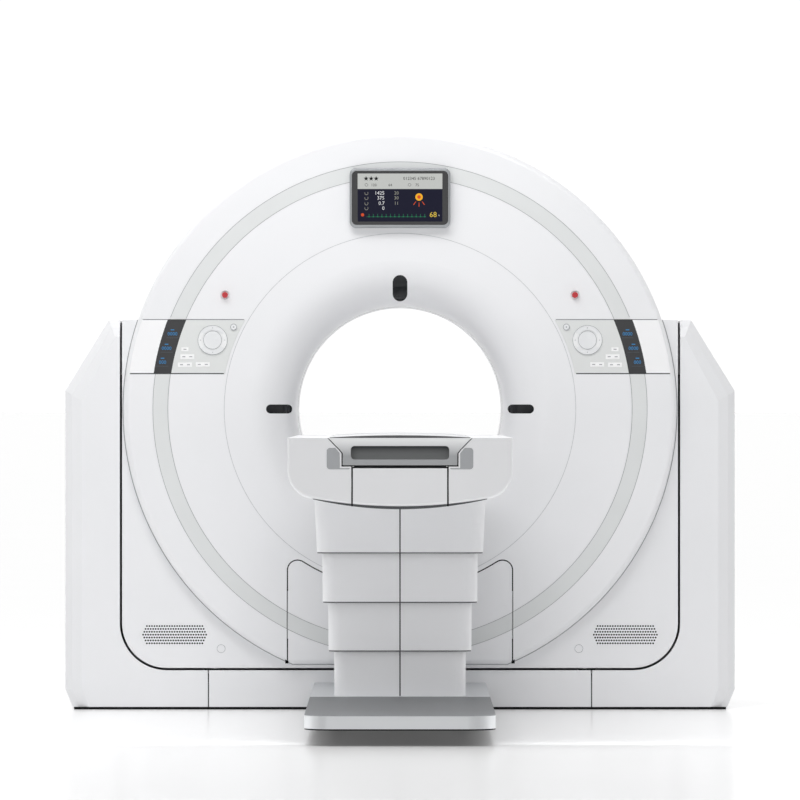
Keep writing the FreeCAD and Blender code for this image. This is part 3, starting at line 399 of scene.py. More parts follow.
def addRingSector(bm, x, z, radii, fromAngle, sweepAngle, front, back, steps=24):
    # a flat ring sector about an axis along Y, angles from +X towards +Z
    place = Matrix.Translation((x, 0, z)) @ Matrix.Rotation(-fromAngle, 4, "Y")
    corners = [(radii[0], front), (radii[1], front), (radii[1], back), (radii[0], back)]
    verts = [bm.verts.new(place @ Vector((r, y, 0))) for r, y in corners]
    face = bm.faces.new(verts)
    if sweepAngle >= fullTurn:
        edges = list(face.edges)
        bmesh.ops.delete(bm, geom=[face], context="FACES_ONLY")
        bmesh.ops.spin(bm, geom=verts + edges, cent=(x, 0, z), axis=(0, -1, 0), angle=sweepAngle,
                       steps=steps, use_merge=True, use_duplicate=False)
        return
    copy = bmesh.ops.duplicate(bm, geom=[face])["geom"]
    last = [g for g in copy if isinstance(g, bmesh.types.BMFace)]
    bmesh.ops.spin(bm, geom=last, cent=(x, 0, z), axis=(0, -1, 0), angle=sweepAngle,
                   steps=steps, use_merge=False, use_duplicate=False)


def addNumber(bm, text, x, z, front, height, depth=0.0003, align="CENTER"):
    # plain digits standing on a face that looks along -Y
    curve = bpy.data.curves.new("digits", "FONT")
    curve.body = text
    curve.size = height * 1.4  # a digit is about 0.7 of the font's size tall
    curve.align_x = align
    curve.align_y = "CENTER"
    curve.extrude = depth / 2
    curve.resolution_u = 2
    holder = bpy.data.objects.new("digits", curve)
    bpy.context.scene.collection.objects.link(holder)
    bpy.context.view_layer.update()
    mesh = bpy.data.meshes.new_from_object(holder.evaluated_get(bpy.context.evaluated_depsgraph_get()))
    bpy.data.objects.remove(holder)
    bpy.data.curves.remove(curve)
    mesh.transform(Matrix.Translation((x, front - depth / 2, z)) @ Matrix.Rotation(math.pi / 2, 4, "X"))
    bm.from_mesh(mesh)
    bpy.data.meshes.remove(mesh)


print("gantry face")
caps = {"x": 0.603, "z": 0.205, "r": 0.013, "proud": 0.0015, "edge": 0.0008, "dimpleR": 0.00455,
        "dimpleProud": 0.0004, "ring": 0.0012, "ringHalf": 0.0005}


def screwCaps():
    # round screw covers low on the front panel, each in a fine grey ring
    bm = bmesh.new()
    front = panelFace - caps["proud"]
    for side in (-1, 1):
        addDisc(bm, side * caps["x"], caps["z"], caps["r"], front, panelFace, caps["edge"])
        addDisc(bm, side * caps["x"], caps["z"], caps["dimpleR"], front - caps["dimpleProud"], front)
    finishPiece("screw_caps", bm, "gantry", coverWhite)
    bm = bmesh.new()
    for side in (-1, 1):
        addRingSector(bm, side * caps["x"], caps["z"], (caps["r"], caps["r"] + caps["ring"]), 0, fullTurn,
                      panelFace - caps["ringHalf"], panelFace + caps["ringHalf"], 48)
    finishPiece("screw_cap_rings", bm, "gantry", printGrey)


stop = {"x": 0.589, "z": 1.397, "r": 0.0135, "collar": 0.017, "proud": 0.002, "sunk": 0.0005}


def stopCollars():
    # a pale guard ring round each stop button
    bm = bmesh.new()
    for side in (-1, 1):
        addRingSector(bm, side * stop["x"], stop["z"], (stop["r"], stop["collar"]), 0, fullTurn,
                      drumFace - stop["proud"], drumFace + stop["sunk"], 48)
    return finishPiece("stop_collars", bm, "gantry", buttonPlastic, True)


selectMark = {"outer": 0.0004, "inner": 0.0022, "proud": 0.0002, "sunk": 0.0006, "dotR": 0.0022, "dotHalf": 0.0003}


def selectRings():
    # a fine grey ring and dot on each round select button
    bm = bmesh.new()
    for name in ("left_select_button", "right_select_button"):
        low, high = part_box(name)
        x, z, r = (low.x + high.x) / 2, (low.z + high.z) / 2, (high.x - low.x) / 2
        addRingSector(bm, x, z, (r - selectMark["inner"], r - selectMark["outer"]), 0, fullTurn,
                      low.y - selectMark["proud"], low.y + selectMark["sunk"], 48)
        addDisc(bm, x, z, selectMark["dotR"], low.y - selectMark["dotHalf"], low.y + selectMark["dotHalf"])
    return finishPiece("select_rings", bm, "gantry", printGrey)


screwCaps()
stopCollars()
selectRings()


print("joints and seals")
drumSeam = {"r": 0.932, "inside": 0.002, "outside": 0.0035, "flatHalf": 0.36, "flatLow": 0.1505,
            "flatHigh": 0.156, "proud": 0.0006, "sunk": 0.001}


def drumJoint():
    # dark joint where the round drum meets the flat front panel
    bm = bmesh.new()
    top = math.asin((panelTop - boreZ) / drumSeam["r"])
    low = -math.acos(drumSeam["flatHalf"] / drumSeam["r"])
    radii = (drumSeam["r"] - drumSeam["inside"], drumSeam["r"] + drumSeam["outside"])
    front, back = panelFace - drumSeam["proud"], panelFace + drumSeam["sunk"]
    for start in (low, math.pi - top):
        addRingSector(bm, 0, boreZ, radii, start, top - low, front, back, 72)
    addBlock(bm, (-drumSeam["flatHalf"], front, drumSeam["flatLow"]),
             (drumSeam["flatHalf"], back, drumSeam["flatHigh"]))
    return finishPiece("drum_joint", bm, "gantry", lineGrey)


stripe = {"radii": (0.781, 0.833), "line": 0.0016, "displayHalf": 0.1695, "proud": 0.0002, "sunk": 0.0005}


def stripeEdges():
    # fine shadow lines where the inlay meets the walls of its groove
    bm = bmesh.new()
    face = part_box("drum_stripes")[0][1]
    front, back = face - stripe["proud"], face + stripe["sunk"]
    near, far = stripe["radii"]
    middle = (near + far) / 2
    low = math.asin((panelBottom - boreZ) / middle)
    high = math.asin((panelTop - boreZ) / middle)
    side = math.acos(stripe["displayHalf"] / middle)
    inner, outer = (near, near + stripe["line"]), (far - stripe["line"], far)
    for start, turn, steps in ((math.pi - low, math.pi + 2 * low, 120), (high, side - high, 24),
                               (math.pi - side, side - high, 24)):
        for radii in (inner, outer):
            addRingSector(bm, 0, boreZ, radii, start, turn, front, back, steps)
    addRingSector(bm, 0, boreZ, outer, side, math.pi - 2 * side, front, back, 24)
    return finishPiece("stripe_edges", bm, "gantry", lineGrey)


funnel = {"r": 0.592, "half": 0.0015, "from": 0.0008, "to": 0.004}


def funnelJoint():
    # pale filler just below the face in the ring seam round the funnel
    bm = bmesh.new()
    addRingSector(bm, 0, boreZ, (funnel["r"] - funnel["half"], funnel["r"] + funnel["half"]), 0, fullTurn,
                  drumFace + funnel["from"], drumFace + funnel["to"], 160)
    return finishPiece("funnel_joint", bm, "gantry", fillerGrey)


# the long strips stand in for the covers' contact shadow: painted shadow
shadowJointStrip = {"half": 1.099, "low": 0.0004, "high": 0.0085, "proud": 0.0006, "sunk": 0.006,
          "jointX": (0.600, 0.660), "jointZ": (0.1322, 0.1385), "jointY": (0.0005, 0.0015)}


def shadowAndJointStrips():
    # black strip under the covers, front and rear, a painted contact shadow, and a dark strip in the front panel's
    # short side joints
    bm = bmesh.new()
    front, back = panelFace - shadowJointStrip["proud"], panelFace + shadowJointStrip["sunk"]
    for near, far in ((front, back), (-back, -front)):
        addBlock(bm, (-shadowJointStrip["half"], near, shadowJointStrip["low"]), (shadowJointStrip["half"], far, shadowJointStrip["high"]))
    for side in (-1, 1):
        xs = sorted(side * x for x in shadowJointStrip["jointX"])
        addBlock(bm, (xs[0], panelFace + shadowJointStrip["jointY"][0], shadowJointStrip["jointZ"][0]),
                 (xs[1], panelFace + shadowJointStrip["jointY"][1], shadowJointStrip["jointZ"][1]))
    return finishPiece("shadow_and_joint_strips", bm, "base", sealRubber)


access = {"seamX": 0.381, "half": 0.0055, "low": 0.156, "sideTop": 0.49, "corner": 0.05, "cornerLow": 0.44,
          "high": 0.53, "arcR": 0.607, "arcFrom": 232, "arcTurn": 76, "behind": 0.0066, "thick": 0.003,
          "stripHalf": 0.0018, "stripZ": (0.236, 0.404), "stripY": (0.0014, 0.0028)}


def accessSeal():
    # black foam behind the joint round the access panel, and a strip nearer the face on its upright sides
    bm = bmesh.new()
    front = drumFace + access["behind"]
    back = front + access["thick"]
    for side in (-1, 1):
        middle = side * access["seamX"]
        addBlock(bm, (middle - access["half"], front, access["low"]),
                 (middle + access["half"], back, access["sideTop"]))
        addBlock(bm, (middle - access["stripHalf"], drumFace + access["stripY"][0], access["stripZ"][0]),
                 (middle + access["stripHalf"], drumFace + access["stripY"][1], access["stripZ"][1]))
        xs = sorted((middle + side * access["half"], middle - side * access["corner"]))
        addBlock(bm, (xs[0], front, access["cornerLow"]), (xs[1], back, access["high"]))
    addRingSector(bm, 0, boreZ, (access["arcR"] - access["half"], access["arcR"] + access["half"]),
                  math.radians(access["arcFrom"]), math.radians(access["arcTurn"]), front, back, 48)
    return finishPiece("access_seal", bm, "gantry", sealRubber)


foam = {"overlap": 0.006, "outer": 0.648, "gap": 0.0003, "to": 0.006, "trim": 0.004, "edge": 0.001}


def ventFoam():
    # black filter foam behind each vent grille
    bm = bmesh.new()
    low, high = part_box("vent_grilles")
    for side in (-1, 1):
        xs = sorted((side * (high.x - foam["overlap"]), side * foam["outer"]))
        addBlock(bm, (xs[0], high.y + foam["gap"], low.z + foam["trim"]),
                 (xs[1], high.y + foam["to"], high.z - foam["trim"]), foam["edge"], 2)
    return finishPiece("vent_foam", bm, "gantry", sealRubber)


brush = {"floor": 0.840, "wall": ((0.176, 0.880), (0.184, 0.890), (0.219, 0.9255)), "inset": (0.0009, 0.0033),
         "behind": 0.003, "deep": 0.008}


def channelSeal():
    # black brush seal in the joint between the cradle and its channel
    bm = bmesh.new()
    loops = []
    for inset in brush["inset"]:
        right = [(brush["wall"][0][0] - inset, brush["floor"] + inset)]
        right += [(x - inset, z) for x, z in brush["wall"]]
        loops.append([bm.verts.new((x, tableEnd + brush["behind"], z))
                      for x, z in [(-x, z) for x, z in reversed(right)] + right])
    outer, inner = loops
    faces = [bm.faces.new((outer[i], outer[i + 1], inner[i + 1], inner[i])) for i in range(len(outer) - 1)]
    made = bmesh.ops.extrude_face_region(bm, geom=faces, use_keep_orig=True)["geom"]
    moved = [g for g in made if isinstance(g, bmesh.types.BMVert)]
    bmesh.ops.translate(bm, verts=moved, vec=(0, brush["deep"], 0))
    return finishPiece("channel_seal", bm, "table", sealRubber)


# the column's covers widen upwards: for each body its wiper is at a height, between an inner and an outer half width,
# and its seam runs between two heights where the cover is so wide
column = {"front": -1.620, "rear": -0.870, "widest": 0.276, "cornerR": 0.038, "cornerSteps": 6,
          "wiperShadows": (("table_stage_one", 0.237, 0.212, 0.230), ("table_stage_two", 0.394, 0.231, 0.2485),
                     ("table", 0.553, 0.250, 0.267)),
          "wiperTall": 0.0034, "wiperDrop": 0.0001, "gap": 0.0006, "setBack": 0.0015,
          "seams": (("base", 0.0905, 0.2365, 0.211, 0.212), ("table_stage_one", 0.2375, 0.3935, 0.230, 0.231),
                    ("table_stage_two", 0.3945, 0.5525, 0.2485, 0.250), ("table", 0.5535, 0.7160, 0.267, 0.2745)),
          "seamHalf": 0.0019, "seamBack": 0.0008, "seamDeep": 0.0018}


def columnWiperShadows():
    # rubber wiper under the lip of each moving column cover, its dark grey also a painted shadow under the lip
    for body, level, inner, outer in column["wiperShadows"]:
        bm = bmesh.new()
        loops = []
        for half in (outer - column["setBack"], inner + column["gap"]):
            inset = column["widest"] - half
            r = column["cornerR"]
            x, near, far = half - r, column["front"] + inset + r, column["rear"] - inset - r
            loop = []
            for cx, cy, start in ((x, near, -90), (x, far, 0), (-x, far, 90), (-x, near, 180)):
                for i in range(column["cornerSteps"] + 1):
                    angle = math.radians(start + 90 / column["cornerSteps"] * i)
                    loop.append(bm.verts.new((cx + r * math.cos(angle), cy + r * math.sin(angle),
                                              level - column["wiperDrop"])))
            loops.append([bm.edges.new((loop[i - 1], loop[i])) for i in range(len(loop))])
        made = bmesh.ops.bridge_loops(bm, edges=loops[0] + loops[1])["faces"]
        walls = bmesh.ops.extrude_face_region(bm, geom=made, use_keep_orig=True)["geom"]
        moved = [g for g in walls if isinstance(g, bmesh.types.BMVert)]
        bmesh.ops.translate(bm, verts=moved, vec=(0, 0, -column["wiperTall"]))
        finishPiece("wiper_shadow_" + body, bm, body, shadowGrey)


def columnSeams():
    # black strip set in the upright joint between the two halves of each cover
    for body, low, high, halfLow, halfHigh in column["seams"]:
        bm = bmesh.new()
        for end in (-1, 1):
            corners = []
            for z, half in ((low, halfLow), (high, halfHigh)):
                inset = column["widest"] - half + column["seamBack"]
                y = column["front"] + inset if end < 0 else column["rear"] - inset
                for x in (-column["seamHalf"], column["seamHalf"]):
                    for deep in (0, column["seamDeep"]):
                        corners.append((x, y - end * deep, z))
            bmesh.ops.convex_hull(bm, input=[bm.verts.new(c) for c in corners])
        finishPiece("seam_" + body, bm, body, sealRubber)


shadowAndJointStrips()
drumJoint()
stripeEdges()
funnelJoint()
accessSeal()
ventFoam()
channelSeal()
columnWiperShadows()
columnSeams()


print("control panels")
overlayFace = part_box("control_panels")[0][1]
panelShadowLine = {"inner": 0.601, "outer": 0.919, "topHalf": 0.00216, "bottomHalf": 0.0036, "innerTrim": 0.004,
             "outerTrim": 0.002, "proud": 0.0005, "sunk": 0.001, "edge": 0.0003}


def panelEdgeShadows():
    # dark line along the top and the bottom of each control panel: painted shadow of its raised edges
    bm = bmesh.new()
    for side in (-1, 1):
        for z, half in ((panelTop, panelShadowLine["topHalf"]), (panelBottom, panelShadowLine["bottomHalf"])):
            rise = z - boreZ
            near = math.sqrt(panelShadowLine["inner"] ** 2 - rise ** 2) + panelShadowLine["innerTrim"]
            far = math.sqrt(panelShadowLine["outer"] ** 2 - rise ** 2) - panelShadowLine["outerTrim"]
            xs = sorted((side * near, side * far))
            addBlock(bm, (xs[0], drumFace - panelShadowLine["proud"], z - half),
                     (xs[1], drumFace + panelShadowLine["sunk"], z + half), panelShadowLine["edge"], 1)
    return finishPiece("panel_edge_shadows", bm, "gantry", shadowGrey)


# each key is x, z, width and height
keys = {"places": ((0.724, 1.214, 0.024, 0.013), (0.716, 1.189, 0.047, 0.016), (0.724, 1.162, 0.047, 0.0146),
                   (0.664, 1.163, 0.047, 0.0146)),
        "tall": 0.0008, "sunk": 0.0002, "edge": 0.0004, "doubleFrom": 0.03, "markHalf": (0.005, 0.0015),
        "ink": 0.0002}


def panelKeys():
    # raised white keys, rounded at their edges
    bm = bmesh.new()
    for side in (-1, 1):
        for x, z, width, height in keys["places"]:
            addBlock(bm, (side * x - width / 2, overlayFace - keys["tall"], z - height / 2),
                     (side * x + width / 2, overlayFace + keys["sunk"], z + height / 2), keys["edge"], 2)
    return finishPiece("panel_keys", bm, "gantry", keyWhite)


def panelMarks():
    # small grey prints on the keys, two on a wide one
    bm = bmesh.new()
    front = overlayFace - keys["tall"]
    markX, markZ = keys["markHalf"]
    for side in (-1, 1):
        for x, z, width, height in keys["places"]:
            offsets = (0,) if width < keys["doubleFrom"] else (-width / 4, width / 4)
            for offset in offsets:
                middle = side * x + offset
                addBlock(bm, (middle - markX, front - keys["ink"], z - markZ), (middle + markX, front, z + markZ))
    return finishPiece("panel_marks", bm, "gantry", printGrey)


# each counter is x, z and its digits
counters = {"places": ((0.766, 1.2655, "0000"), (0.786, 1.217, "0000"), (0.7995, 1.170, "000")), "tall": 0.012,
            "barHalf": 0.006, "barZ": (0.0125, 0.0155), "ruleHalf": 0.02, "ruleZ": (-0.0135, -0.012),
            "ink": 0.0003}


def panelDigits():
    # lit counters in the dark band, with a short lit bar over each
    bm = bmesh.new()
    for side in (-1, 1):
        for x, z, digits in counters["places"]:
            addNumber(bm, digits, side * x, z, overlayFace, counters["tall"])
            addBlock(bm, (side * x - counters["barHalf"], overlayFace - counters["ink"], z + counters["barZ"][0]),
                     (side * x + counters["barHalf"], overlayFace, z + counters["barZ"][1]))
    return finishPiece("panel_digits", bm, "gantry", litBlue)


def panelRules():
    # a dim line under each counter
    bm = bmesh.new()
    for side in (-1, 1):
        for x, z, digits in counters["places"]:
            addBlock(bm, (side * x - counters["ruleHalf"], overlayFace - counters["ink"], z + counters["ruleZ"][0]),
                     (side * x + counters["ruleHalf"], overlayFace, z + counters["ruleZ"][1]))
    return finishPiece("panel_rules", bm, "gantry", printDim)


pad = {"x": 0.631, "z": 1.245, "r": 0.050, "innerR": 0.030, "arcR": (0.034, 0.048), "arcFrom": (35, 215),
       "arcTurn": 110, "arcProud": 0.0008, "discProud": 0.0012, "discEdge": 0.0006, "sunk": 0.0002,
       "line": 0.0012, "lineProud": 0.0003, "markAt": 0.041, "markR": 0.0022, "markY": (-0.0002, 0.0001)}


def ringPads():
    # a raised rim and a smooth middle on each four-way pad, with arrows at its quarters
    for side, name in ((-1, "left_ring_pad"), (1, "right_ring_pad")):
        x, z = side * pad["x"], pad["z"]
        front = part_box(name)[0][1]
        back = front + pad["sunk"]
        bm = bmesh.new()
        for start in pad["arcFrom"]:
            addRingSector(bm, x, z, pad["arcR"], math.radians(start), math.radians(pad["arcTurn"]),
                          front - pad["arcProud"], back, 20)
        addDisc(bm, x, z, pad["innerR"], front - pad["discProud"], back, pad["discEdge"])
        finishPiece(name + "_arcs", bm, name, buttonPlastic)
        bm = bmesh.new()
        for radii in ((pad["innerR"], pad["innerR"] + pad["line"]), (pad["r"] - pad["line"], pad["r"])):
            addRingSector(bm, x, z, radii, 0, fullTurn, front - pad["lineProud"], back, 48)
        finishPiece(name + "_lines", bm, name, printGrey)
        bm = bmesh.new()
        for index in range(4):
            angle = index * math.pi / 2
            face = front - (pad["arcProud"] if index % 2 else 0.0)  # two of the arrows stand on the raised arcs
            addDisc(bm, x + pad["markAt"] * math.cos(angle), z + pad["markAt"] * math.sin(angle), pad["markR"],
                    face + pad["markY"][0], face + pad["markY"][1], 0, 3)
        finishPiece(name + "_marks", bm, name, printGrey)


panelEdgeShadows()
panelKeys()
panelMarks()
panelDigits()
panelRules()
ringPads()


print("display")
screen = {"half": 0.1622, "low": 1.6323, "high": 1.8137, "corner": 0.014, "behind": 0.0015, "thick": 0.0014,
          "fieldHalf": 0.1425, "field": (1.6435, 1.753), "header": (1.753, 1.805), "layer": 0.0003, "ink": 0.0002}
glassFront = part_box("display_housing")[0][1] + screen["behind"]
fieldFront = glassFront - screen["layer"]
inkFront = fieldFront - screen["ink"]


def screenPart(name, material, build, *values):
    # one layer of the display, drawn by its own function
    bm = bmesh.new()
    build(bm, *values)
    return finishPiece(name, bm, "gantry", material)


def glassPlate(bm):
    # dark glass with its four corners rounded
    addBlock(bm, (-screen["half"], glassFront, screen["low"]),
             (screen["half"], glassFront + screen["thick"], screen["high"]))
    edges = [e for e in bm.edges if abs(e.verts[0].co.y - e.verts[1].co.y) > screen["thick"] / 2]
    bmesh.ops.bevel(bm, geom=edges, offset=screen["corner"], segments=8, affect="EDGES", profile=0.5, material=-1)


def litField(bm, low, high):
    # a lit area across the screen between two heights
    addBlock(bm, (-screen["fieldHalf"], fieldFront, low), (screen["fieldHalf"], glassFront, high))


# a line of print is its text, x, z and height
header = {"starX": (-0.114, -0.097, -0.080), "starZ": 1.788, "starR": 0.0088, "starInner": 0.42,
          "lines": (("012345 67890123", 0.064, 1.788, 0.0105), ("120", -0.088, 1.766, 0.009),
                    ("64", -0.033, 1.766, 0.009), ("75", 0.058, 1.766, 0.009)),
          "ringX": (-0.113, 0.032), "ringZ": 1.767, "ringR": (0.0042, 0.0052)}


def addStar(bm, x, z):
    # thin five pointed star
    points = []
    for i in range(10):
        r = header["starR"] * (header["starInner"] if i % 2 else 1.0)
        angle = math.pi / 2 + i * math.pi / 5
        points.append((x + r * math.cos(angle), z + r * math.sin(angle)))
    near, far = [[bm.verts.new((px, y, pz)) for px, pz in points] for y in (inkFront, fieldFront)]
    bm.faces.new(near)
    bm.faces.new(far[::-1])
    for i in range(10):
        bm.faces.new((near[i], near[i - 1], far[i - 1], far[i]))


def headerInk(bm):
    # dark print on the lit header: stars, numbers and small rings
    for x in header["starX"]:
        addStar(bm, x, header["starZ"])
    for text, x, z, tall in header["lines"]:
        addNumber(bm, text, x, z, fieldFront, tall, screen["ink"])
    for x in header["ringX"]:
        addRingSector(bm, x, header["ringZ"], header["ringR"], 0, fullTurn, inkFront, fieldFront, 20)


readings = {"rows": (1.739, 1.7225, 1.7045, 1.688), "white": ("1425", "375", "0.7", "0"), "whiteX": -0.052,
            "whiteTall": 0.012, "corner": ("0", 0.131, 1.664, 0.005), "grey": ("20", "30", "11"), "greyX": -0.012,
            "greyTall": 0.011, "hookX": -0.113, "hookR": (0.0048, 0.0062), "hookFrom": 150, "hookTurn": 250}


def whiteInk(bm):
    # the column of readings, set to the right
    for text, z in zip(readings["white"], readings["rows"]):
        addNumber(bm, text, readings["whiteX"], z, fieldFront, readings["whiteTall"], screen["ink"], "RIGHT")
    text, x, z, tall = readings["corner"]
    addNumber(bm, text, x, z, fieldFront, tall, screen["ink"])


def greyInk(bm):
    # smaller readings beside them, and an open ring before each row
    for text, z in zip(readings["grey"], readings["rows"]):
        addNumber(bm, text, readings["greyX"], z, fieldFront, readings["greyTall"], screen["ink"])
    for z in readings["rows"]:
        addRingSector(bm, readings["hookX"], z, readings["hookR"], math.radians(readings["hookFrom"]),
                      math.radians(readings["hookTurn"]), inkFront, fieldFront, 16)


sun = {"x": 0.064, "z": 1.726, "r": 0.0125, "dotR": 0.006, "rayR": (0.018, 0.032), "rays": (-125, -90, -55),
       "rayHalf": 2.5}
beacon = {"x": -0.126, "z": 1.666, "r": 0.0055}


def sunInk(bm):
    # plain yellow disc
    addDisc(bm, sun["x"], sun["z"], sun["r"], inkFront, fieldFront, 0, 32)


def emberInk(bm):
    # red dot on the disc, three rays below it, and a red spot before the trace
    addDisc(bm, sun["x"], sun["z"], sun["dotR"], inkFront - screen["ink"], inkFront, 0, 24)
    for angle in sun["rays"]:
        addRingSector(bm, sun["x"], sun["z"], sun["rayR"], math.radians(angle - sun["rayHalf"]),
                      math.radians(2 * sun["rayHalf"]), inkFront, fieldFront, 3)
    addDisc(bm, beacon["x"], beacon["z"], beacon["r"], inkFront, fieldFront, 0, 24)


trace = {"x": (-0.113, 0.088), "z": (1.6588, 1.6600), "count": 14, "start": -0.104, "pitch": 0.0144,
         "spike": (0.0008, 1.6588, 1.6690), "foot": (0.0028, 1.6580, 1.6612)}


def greenInk(bm):
    # a level line with a row of spikes on it
    addBlock(bm, (trace["x"][0], inkFront, trace["z"][0]), (trace["x"][1], fieldFront, trace["z"][1]))
    for i in range(trace["count"]):
        x = trace["start"] + trace["pitch"] * i
        for half, low, high in (trace["spike"], trace["foot"]):
            addBlock(bm, (x - half, inkFront, low), (x + half, fieldFront, high))


rate = {"text": "68", "x": 0.1115, "z": 1.666, "tall": 0.018}


def goldInk(bm):
    # the large reading at the end of the trace
    addNumber(bm, rate["text"], rate["x"], rate["z"], fieldFront, rate["tall"], screen["ink"])


screenPart("display_glass", bezelGlass, glassPlate)
screenPart("screen_field", litPrint("litNavy", "#1A1B30", "#19192E", 0.85), litField, *screen["field"])
screenPart("screen_header", litPrint("litHeader", "#C3C5C2", "#BFC1BE", 1.0), litField, *screen["header"])
screenPart("screen_dark_print", litPrint("litBlack", "#141416", "#121214", 0.1), headerInk)
screenPart("screen_white_print", litPrint("litWhite", "#F1F2F4", "#ECEDF0", 0.9), whiteInk)
screenPart("screen_grey_print", litPrint("litGrey", "#A9A89C", "#A5A498", 0.8), greyInk)
screenPart("screen_sun", litPrint("litYellow", "#F5B32C", "#F1AE29", 1.0), sunInk)
screenPart("screen_red_print", litPrint("litEmber", "#E0562E", "#DB522A", 0.9), emberInk)
screenPart("screen_trace", litPrint("litGreen", "#2D7D57", "#2B7954", 0.9), greenInk)
screenPart("screen_rate", litPrint("litGold", "#E8C84E", "#E4C34A", 0.9), goldInk)


print("table")
endSeam = {"x": 0.144, "half": 0.0023, "low": 0.7205, "high": 0.8385, "behind": 0.0025, "deep": 0.012,
           "edge": 0.0008}


def tableSeals():
    # black seals deep in the joints either side of the end panel
    bm = bmesh.new()
    front = tableEnd + endSeam["behind"]
    for side in (-1, 1):
        middle = side * endSeam["x"]
        addBlock(bm, (middle - endSeam["half"], front, endSeam["low"]),
                 (middle + endSeam["half"], front + endSeam["deep"], endSeam["high"]), endSeam["edge"], 2)
    return finishPiece("table_seals", bm, "table", sealRubber)


bellyShadow = {"half": 0.262, "bellyR": 1.5, "bellyLow": 0.719, "rim": 0.0002, "drop": 0.007, "lap": 0.0012,
          "steps": 48, "from": 0.003, "to": 0.03}


def bellyShadowStrip():
    # dark strip under the near end of the table, deepest in the middle: painted shadow of the underside
    bm = bmesh.new()
    centre = bellyShadow["bellyLow"] + bellyShadow["bellyR"]
    near, far = tableEnd + bellyShadow["from"], tableEnd + bellyShadow["to"]
    rows = []
    for i in range(bellyShadow["steps"] + 1):
        x = bellyShadow["half"] * (2 * i / bellyShadow["steps"] - 1)
        belly = centre - math.sqrt(bellyShadow["bellyR"] ** 2 - x * x)
        high = belly + bellyShadow["lap"]
        low = belly - bellyShadow["rim"] - bellyShadow["drop"] * (1 - (x / bellyShadow["half"]) ** 2)
        rows.append([bm.verts.new((x, y, z)) for y, z in ((near, high), (near, low), (far, low), (far, high))])
    for first, second in zip(rows, rows[1:]):
        for k in range(4):
            bm.faces.new((first[k], first[k - 1], second[k - 1], second[k]))
    for row in (rows[0], rows[-1]):
        bm.faces.new(row)
    return finishPiece("belly_shadow_strip", bm, "table", bellyShadowGrey)


grip = {"half": 0.1476, "low": 0.8614, "high": 0.9016, "behind": 0.001, "deep": 0.0385, "wall": 0.0008,
        "corner": 0.006}


def handleLiner():
    # moulded tub set in the grip of the cradle's end, dark at its top and grey below: painted shadow
    bm = bmesh.new()
    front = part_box("cradle_end_cap")[0][1] + grip["behind"]
    addBlock(bm, (-grip["half"], front, grip["low"]), (grip["half"], front + grip["deep"], grip["high"]))
    edges = [e for e in bm.edges if abs(e.verts[0].co.y - e.verts[1].co.y) > grip["deep"] / 2]
    bmesh.ops.bevel(bm, geom=edges, offset=grip["corner"], segments=5, affect="EDGES", profile=0.5, material=-1)
    mouth = [f for f in bm.faces if all(v.co.y < front + closeBy for v in f.verts)]
    bmesh.ops.delete(bm, geom=mouth, context="FACES")
    bmesh.ops.recalc_face_normals(bm, faces=bm.faces)
    bmesh.ops.solidify(bm, geom=bm.faces[:], thickness=grip["wall"])
    return finishPiece("handle_liner", bm, "cradle", slotPlasticPaintedShadow)


mat = {"light": "#E3E4E6", "shade": "#D9DADC", "binding": "#5E5F60", "bindingWidth": 0.004, "edge": 0.0012,
       "edgeAbove": 0.0002, "sharp": 0.6, "flat": 0.01, "fill": 0.9}


def tablePad():
    # upholstered pad: crowned foam slab with its upper edges rounded and its near end bound in a darker strip
    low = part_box("cradle_mat")[0]
    bm = bmesh.new()
    bm.from_mesh(nodes["cradle_mat"].data)
    bmesh.ops.remove_doubles(bm, verts=bm.verts, dist=closeBy)
    bmesh.ops.recalc_face_normals(bm, faces=bm.faces)
    bmesh.ops.dissolve_limit(bm, angle_limit=mat["flat"], verts=bm.verts, edges=bm.edges)
    rims = [e for e in bm.edges if len(e.link_faces) == 2 and e.calc_face_angle() > mat["sharp"]
            and all(v.co.z > low[2] + mat["edgeAbove"] for v in e.verts)]
    bmesh.ops.bevel(bm, geom=rims, offset=mat["edge"], segments=3, affect="EDGES", profile=0.5, material=-1,
                    clamp_overlap=True)
    mesh = bpy.data.meshes.new("table_pad")
    bm.to_mesh(mesh)
    bm.free()
    piece = bpy.data.objects.new("table_pad", mesh)
    bpy.context.scene.collection.objects.link(piece)
    mesh.materials.append(paddedVinyl("padVinyl", mat["light"], mat["shade"], 0.1, 0.48, 0.12, 0.4,
                                      low[1] + mat["bindingWidth"], mat["binding"]))
    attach(piece, "cradle")
    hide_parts("cradle_mat")
    return piece


tableSeals()
bellyShadowStrip()
handleLiner()
tablePad()


print("room")
room = {"floor": "#FFFFFF", "floorShade": "#FDFDFD", "driftMm": 900.0, "size": 4000.0, "world": "#FFFFFF",
        "turn": (-0.7, 0.5), "frontStrength": 0.29, "backStrength": 1.06, "floorLift": 0.075}


def floorMaterial():
    # white epoxy floor: glossy enough to mirror faintly at a low angle
    material, tree, coords = newMaterial("paleFloor", {"Roughness": 0.2, "IOR": 1.4,
                                                       "Emission Strength": room["floorLift"],
                                                       "Emission Color": linear(room["floor"])})
    drift = addNode(tree, "ShaderNodeTexNoise", {"Scale": wide(room["driftMm"]), "Detail": 1.0},
                    {"Vector": coords})
    addNode(tree, "ShaderNodeMix", {"data_type": "RGBA", 6: linear(room["floor"]),
                                    7: linear(room["floorShade"])}, {0: (drift, "Fac")}, {"Base Color": 2})
    return material


def makeFloor():
    bm = bmesh.new()
    bmesh.ops.create_grid(bm, x_segments=1, y_segments=1, size=room["size"] / 2)
    mesh = bpy.data.meshes.new("floor")
    bm.to_mesh(mesh)
    bm.free()
    mesh.materials.append(floorMaterial())
    floor = bpy.data.objects.new("floor", mesh)
    bpy.context.scene.collection.objects.link(floor)


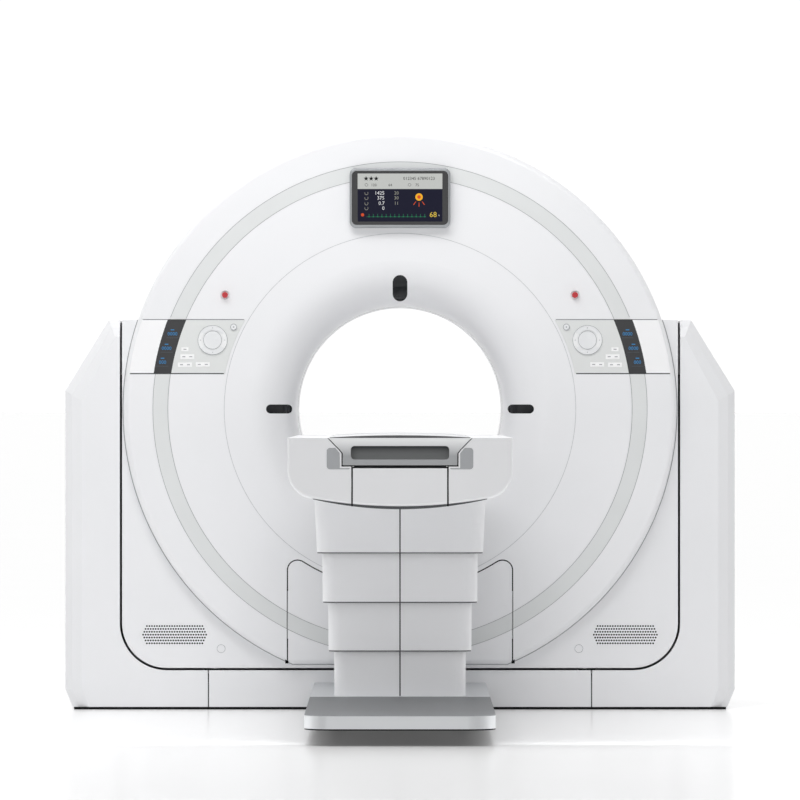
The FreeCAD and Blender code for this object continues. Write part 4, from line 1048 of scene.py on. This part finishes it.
def makeWorld():
    # even white surroundings, dimmer on the side that the gantry faces
    world = bpy.data.worlds.new("studio")
    world.use_nodes = True
    tree = world.node_tree
    tree.nodes["Background"].inputs["Color"].default_value = linear(room["world"])
    coords = addNode(tree, "ShaderNodeTexCoord")
    split = addNode(tree, "ShaderNodeSeparateXYZ", {}, {0: (coords, "Generated")})
    depth = addNode(tree, "ShaderNodeMapRange",
                    {"From Min": room["turn"][0], "From Max": room["turn"][1],
                     "To Min": room["frontStrength"], "To Max": room["backStrength"]}, {"Value": (split, "Y")})
    tree.links.new(depth.outputs[0], tree.nodes["Background"].inputs["Strength"])
    bpy.context.scene.world = world


def turnTo(holder, place, aim):
    # stands a lamp or the camera at its place, looking at its aim
    holder.location = place
    holder.rotation_euler = (Vector(aim) - Vector(place)).to_track_quat("-Z", "Y").to_euler()
    bpy.context.scene.collection.objects.link(holder)


# each lamp is its place, its aim, its width and height, and its watts
lamps = {"topSoftbox": ((-0.8, -2.9, 4.6), (0, -0.475, 1.1), (4.6, 1.6), 112),
         "frontBox": ((-0.8, -9.0, 2.0), (0, -0.5, 0.6), (5.0, 1.2), 38),
         "underTable": ((0.0, -3.0, 0.12), (0, -0.475, 0.0), (2.6, 0.06), 2.6)}


def addLamps():
    # soft boxes that light the object but are not seen themselves
    for name, (place, aim, size, power) in lamps.items():
        lamp = bpy.data.lights.new(name, "AREA")
        lamp.shape = "RECTANGLE"
        lamp.size, lamp.size_y = size
        lamp.energy = power
        holder = bpy.data.objects.new(name, lamp)
        holder.visible_camera = False
        turnTo(holder, place, aim)


viewer = {"place": (0.0, -24.575, boreZ), "aim": (0.0, -0.475, 1.0433), "lens": 322.1, "sensor": 36.0,
          "farthest": 5000.0}


def addCamera():
    cameraData = bpy.data.cameras.new("camera")
    cameraData.lens = viewer["lens"]
    cameraData.sensor_width = viewer["sensor"]
    cameraData.clip_end = viewer["farthest"]
    camera = bpy.data.objects.new("camera", cameraData)
    turnTo(camera, viewer["place"], viewer["aim"])
    bpy.context.scene.camera = camera
    bpy.context.scene.view_settings.view_transform = "Standard"


makeFloor()
makeWorld()
addLamps()
addCamera()
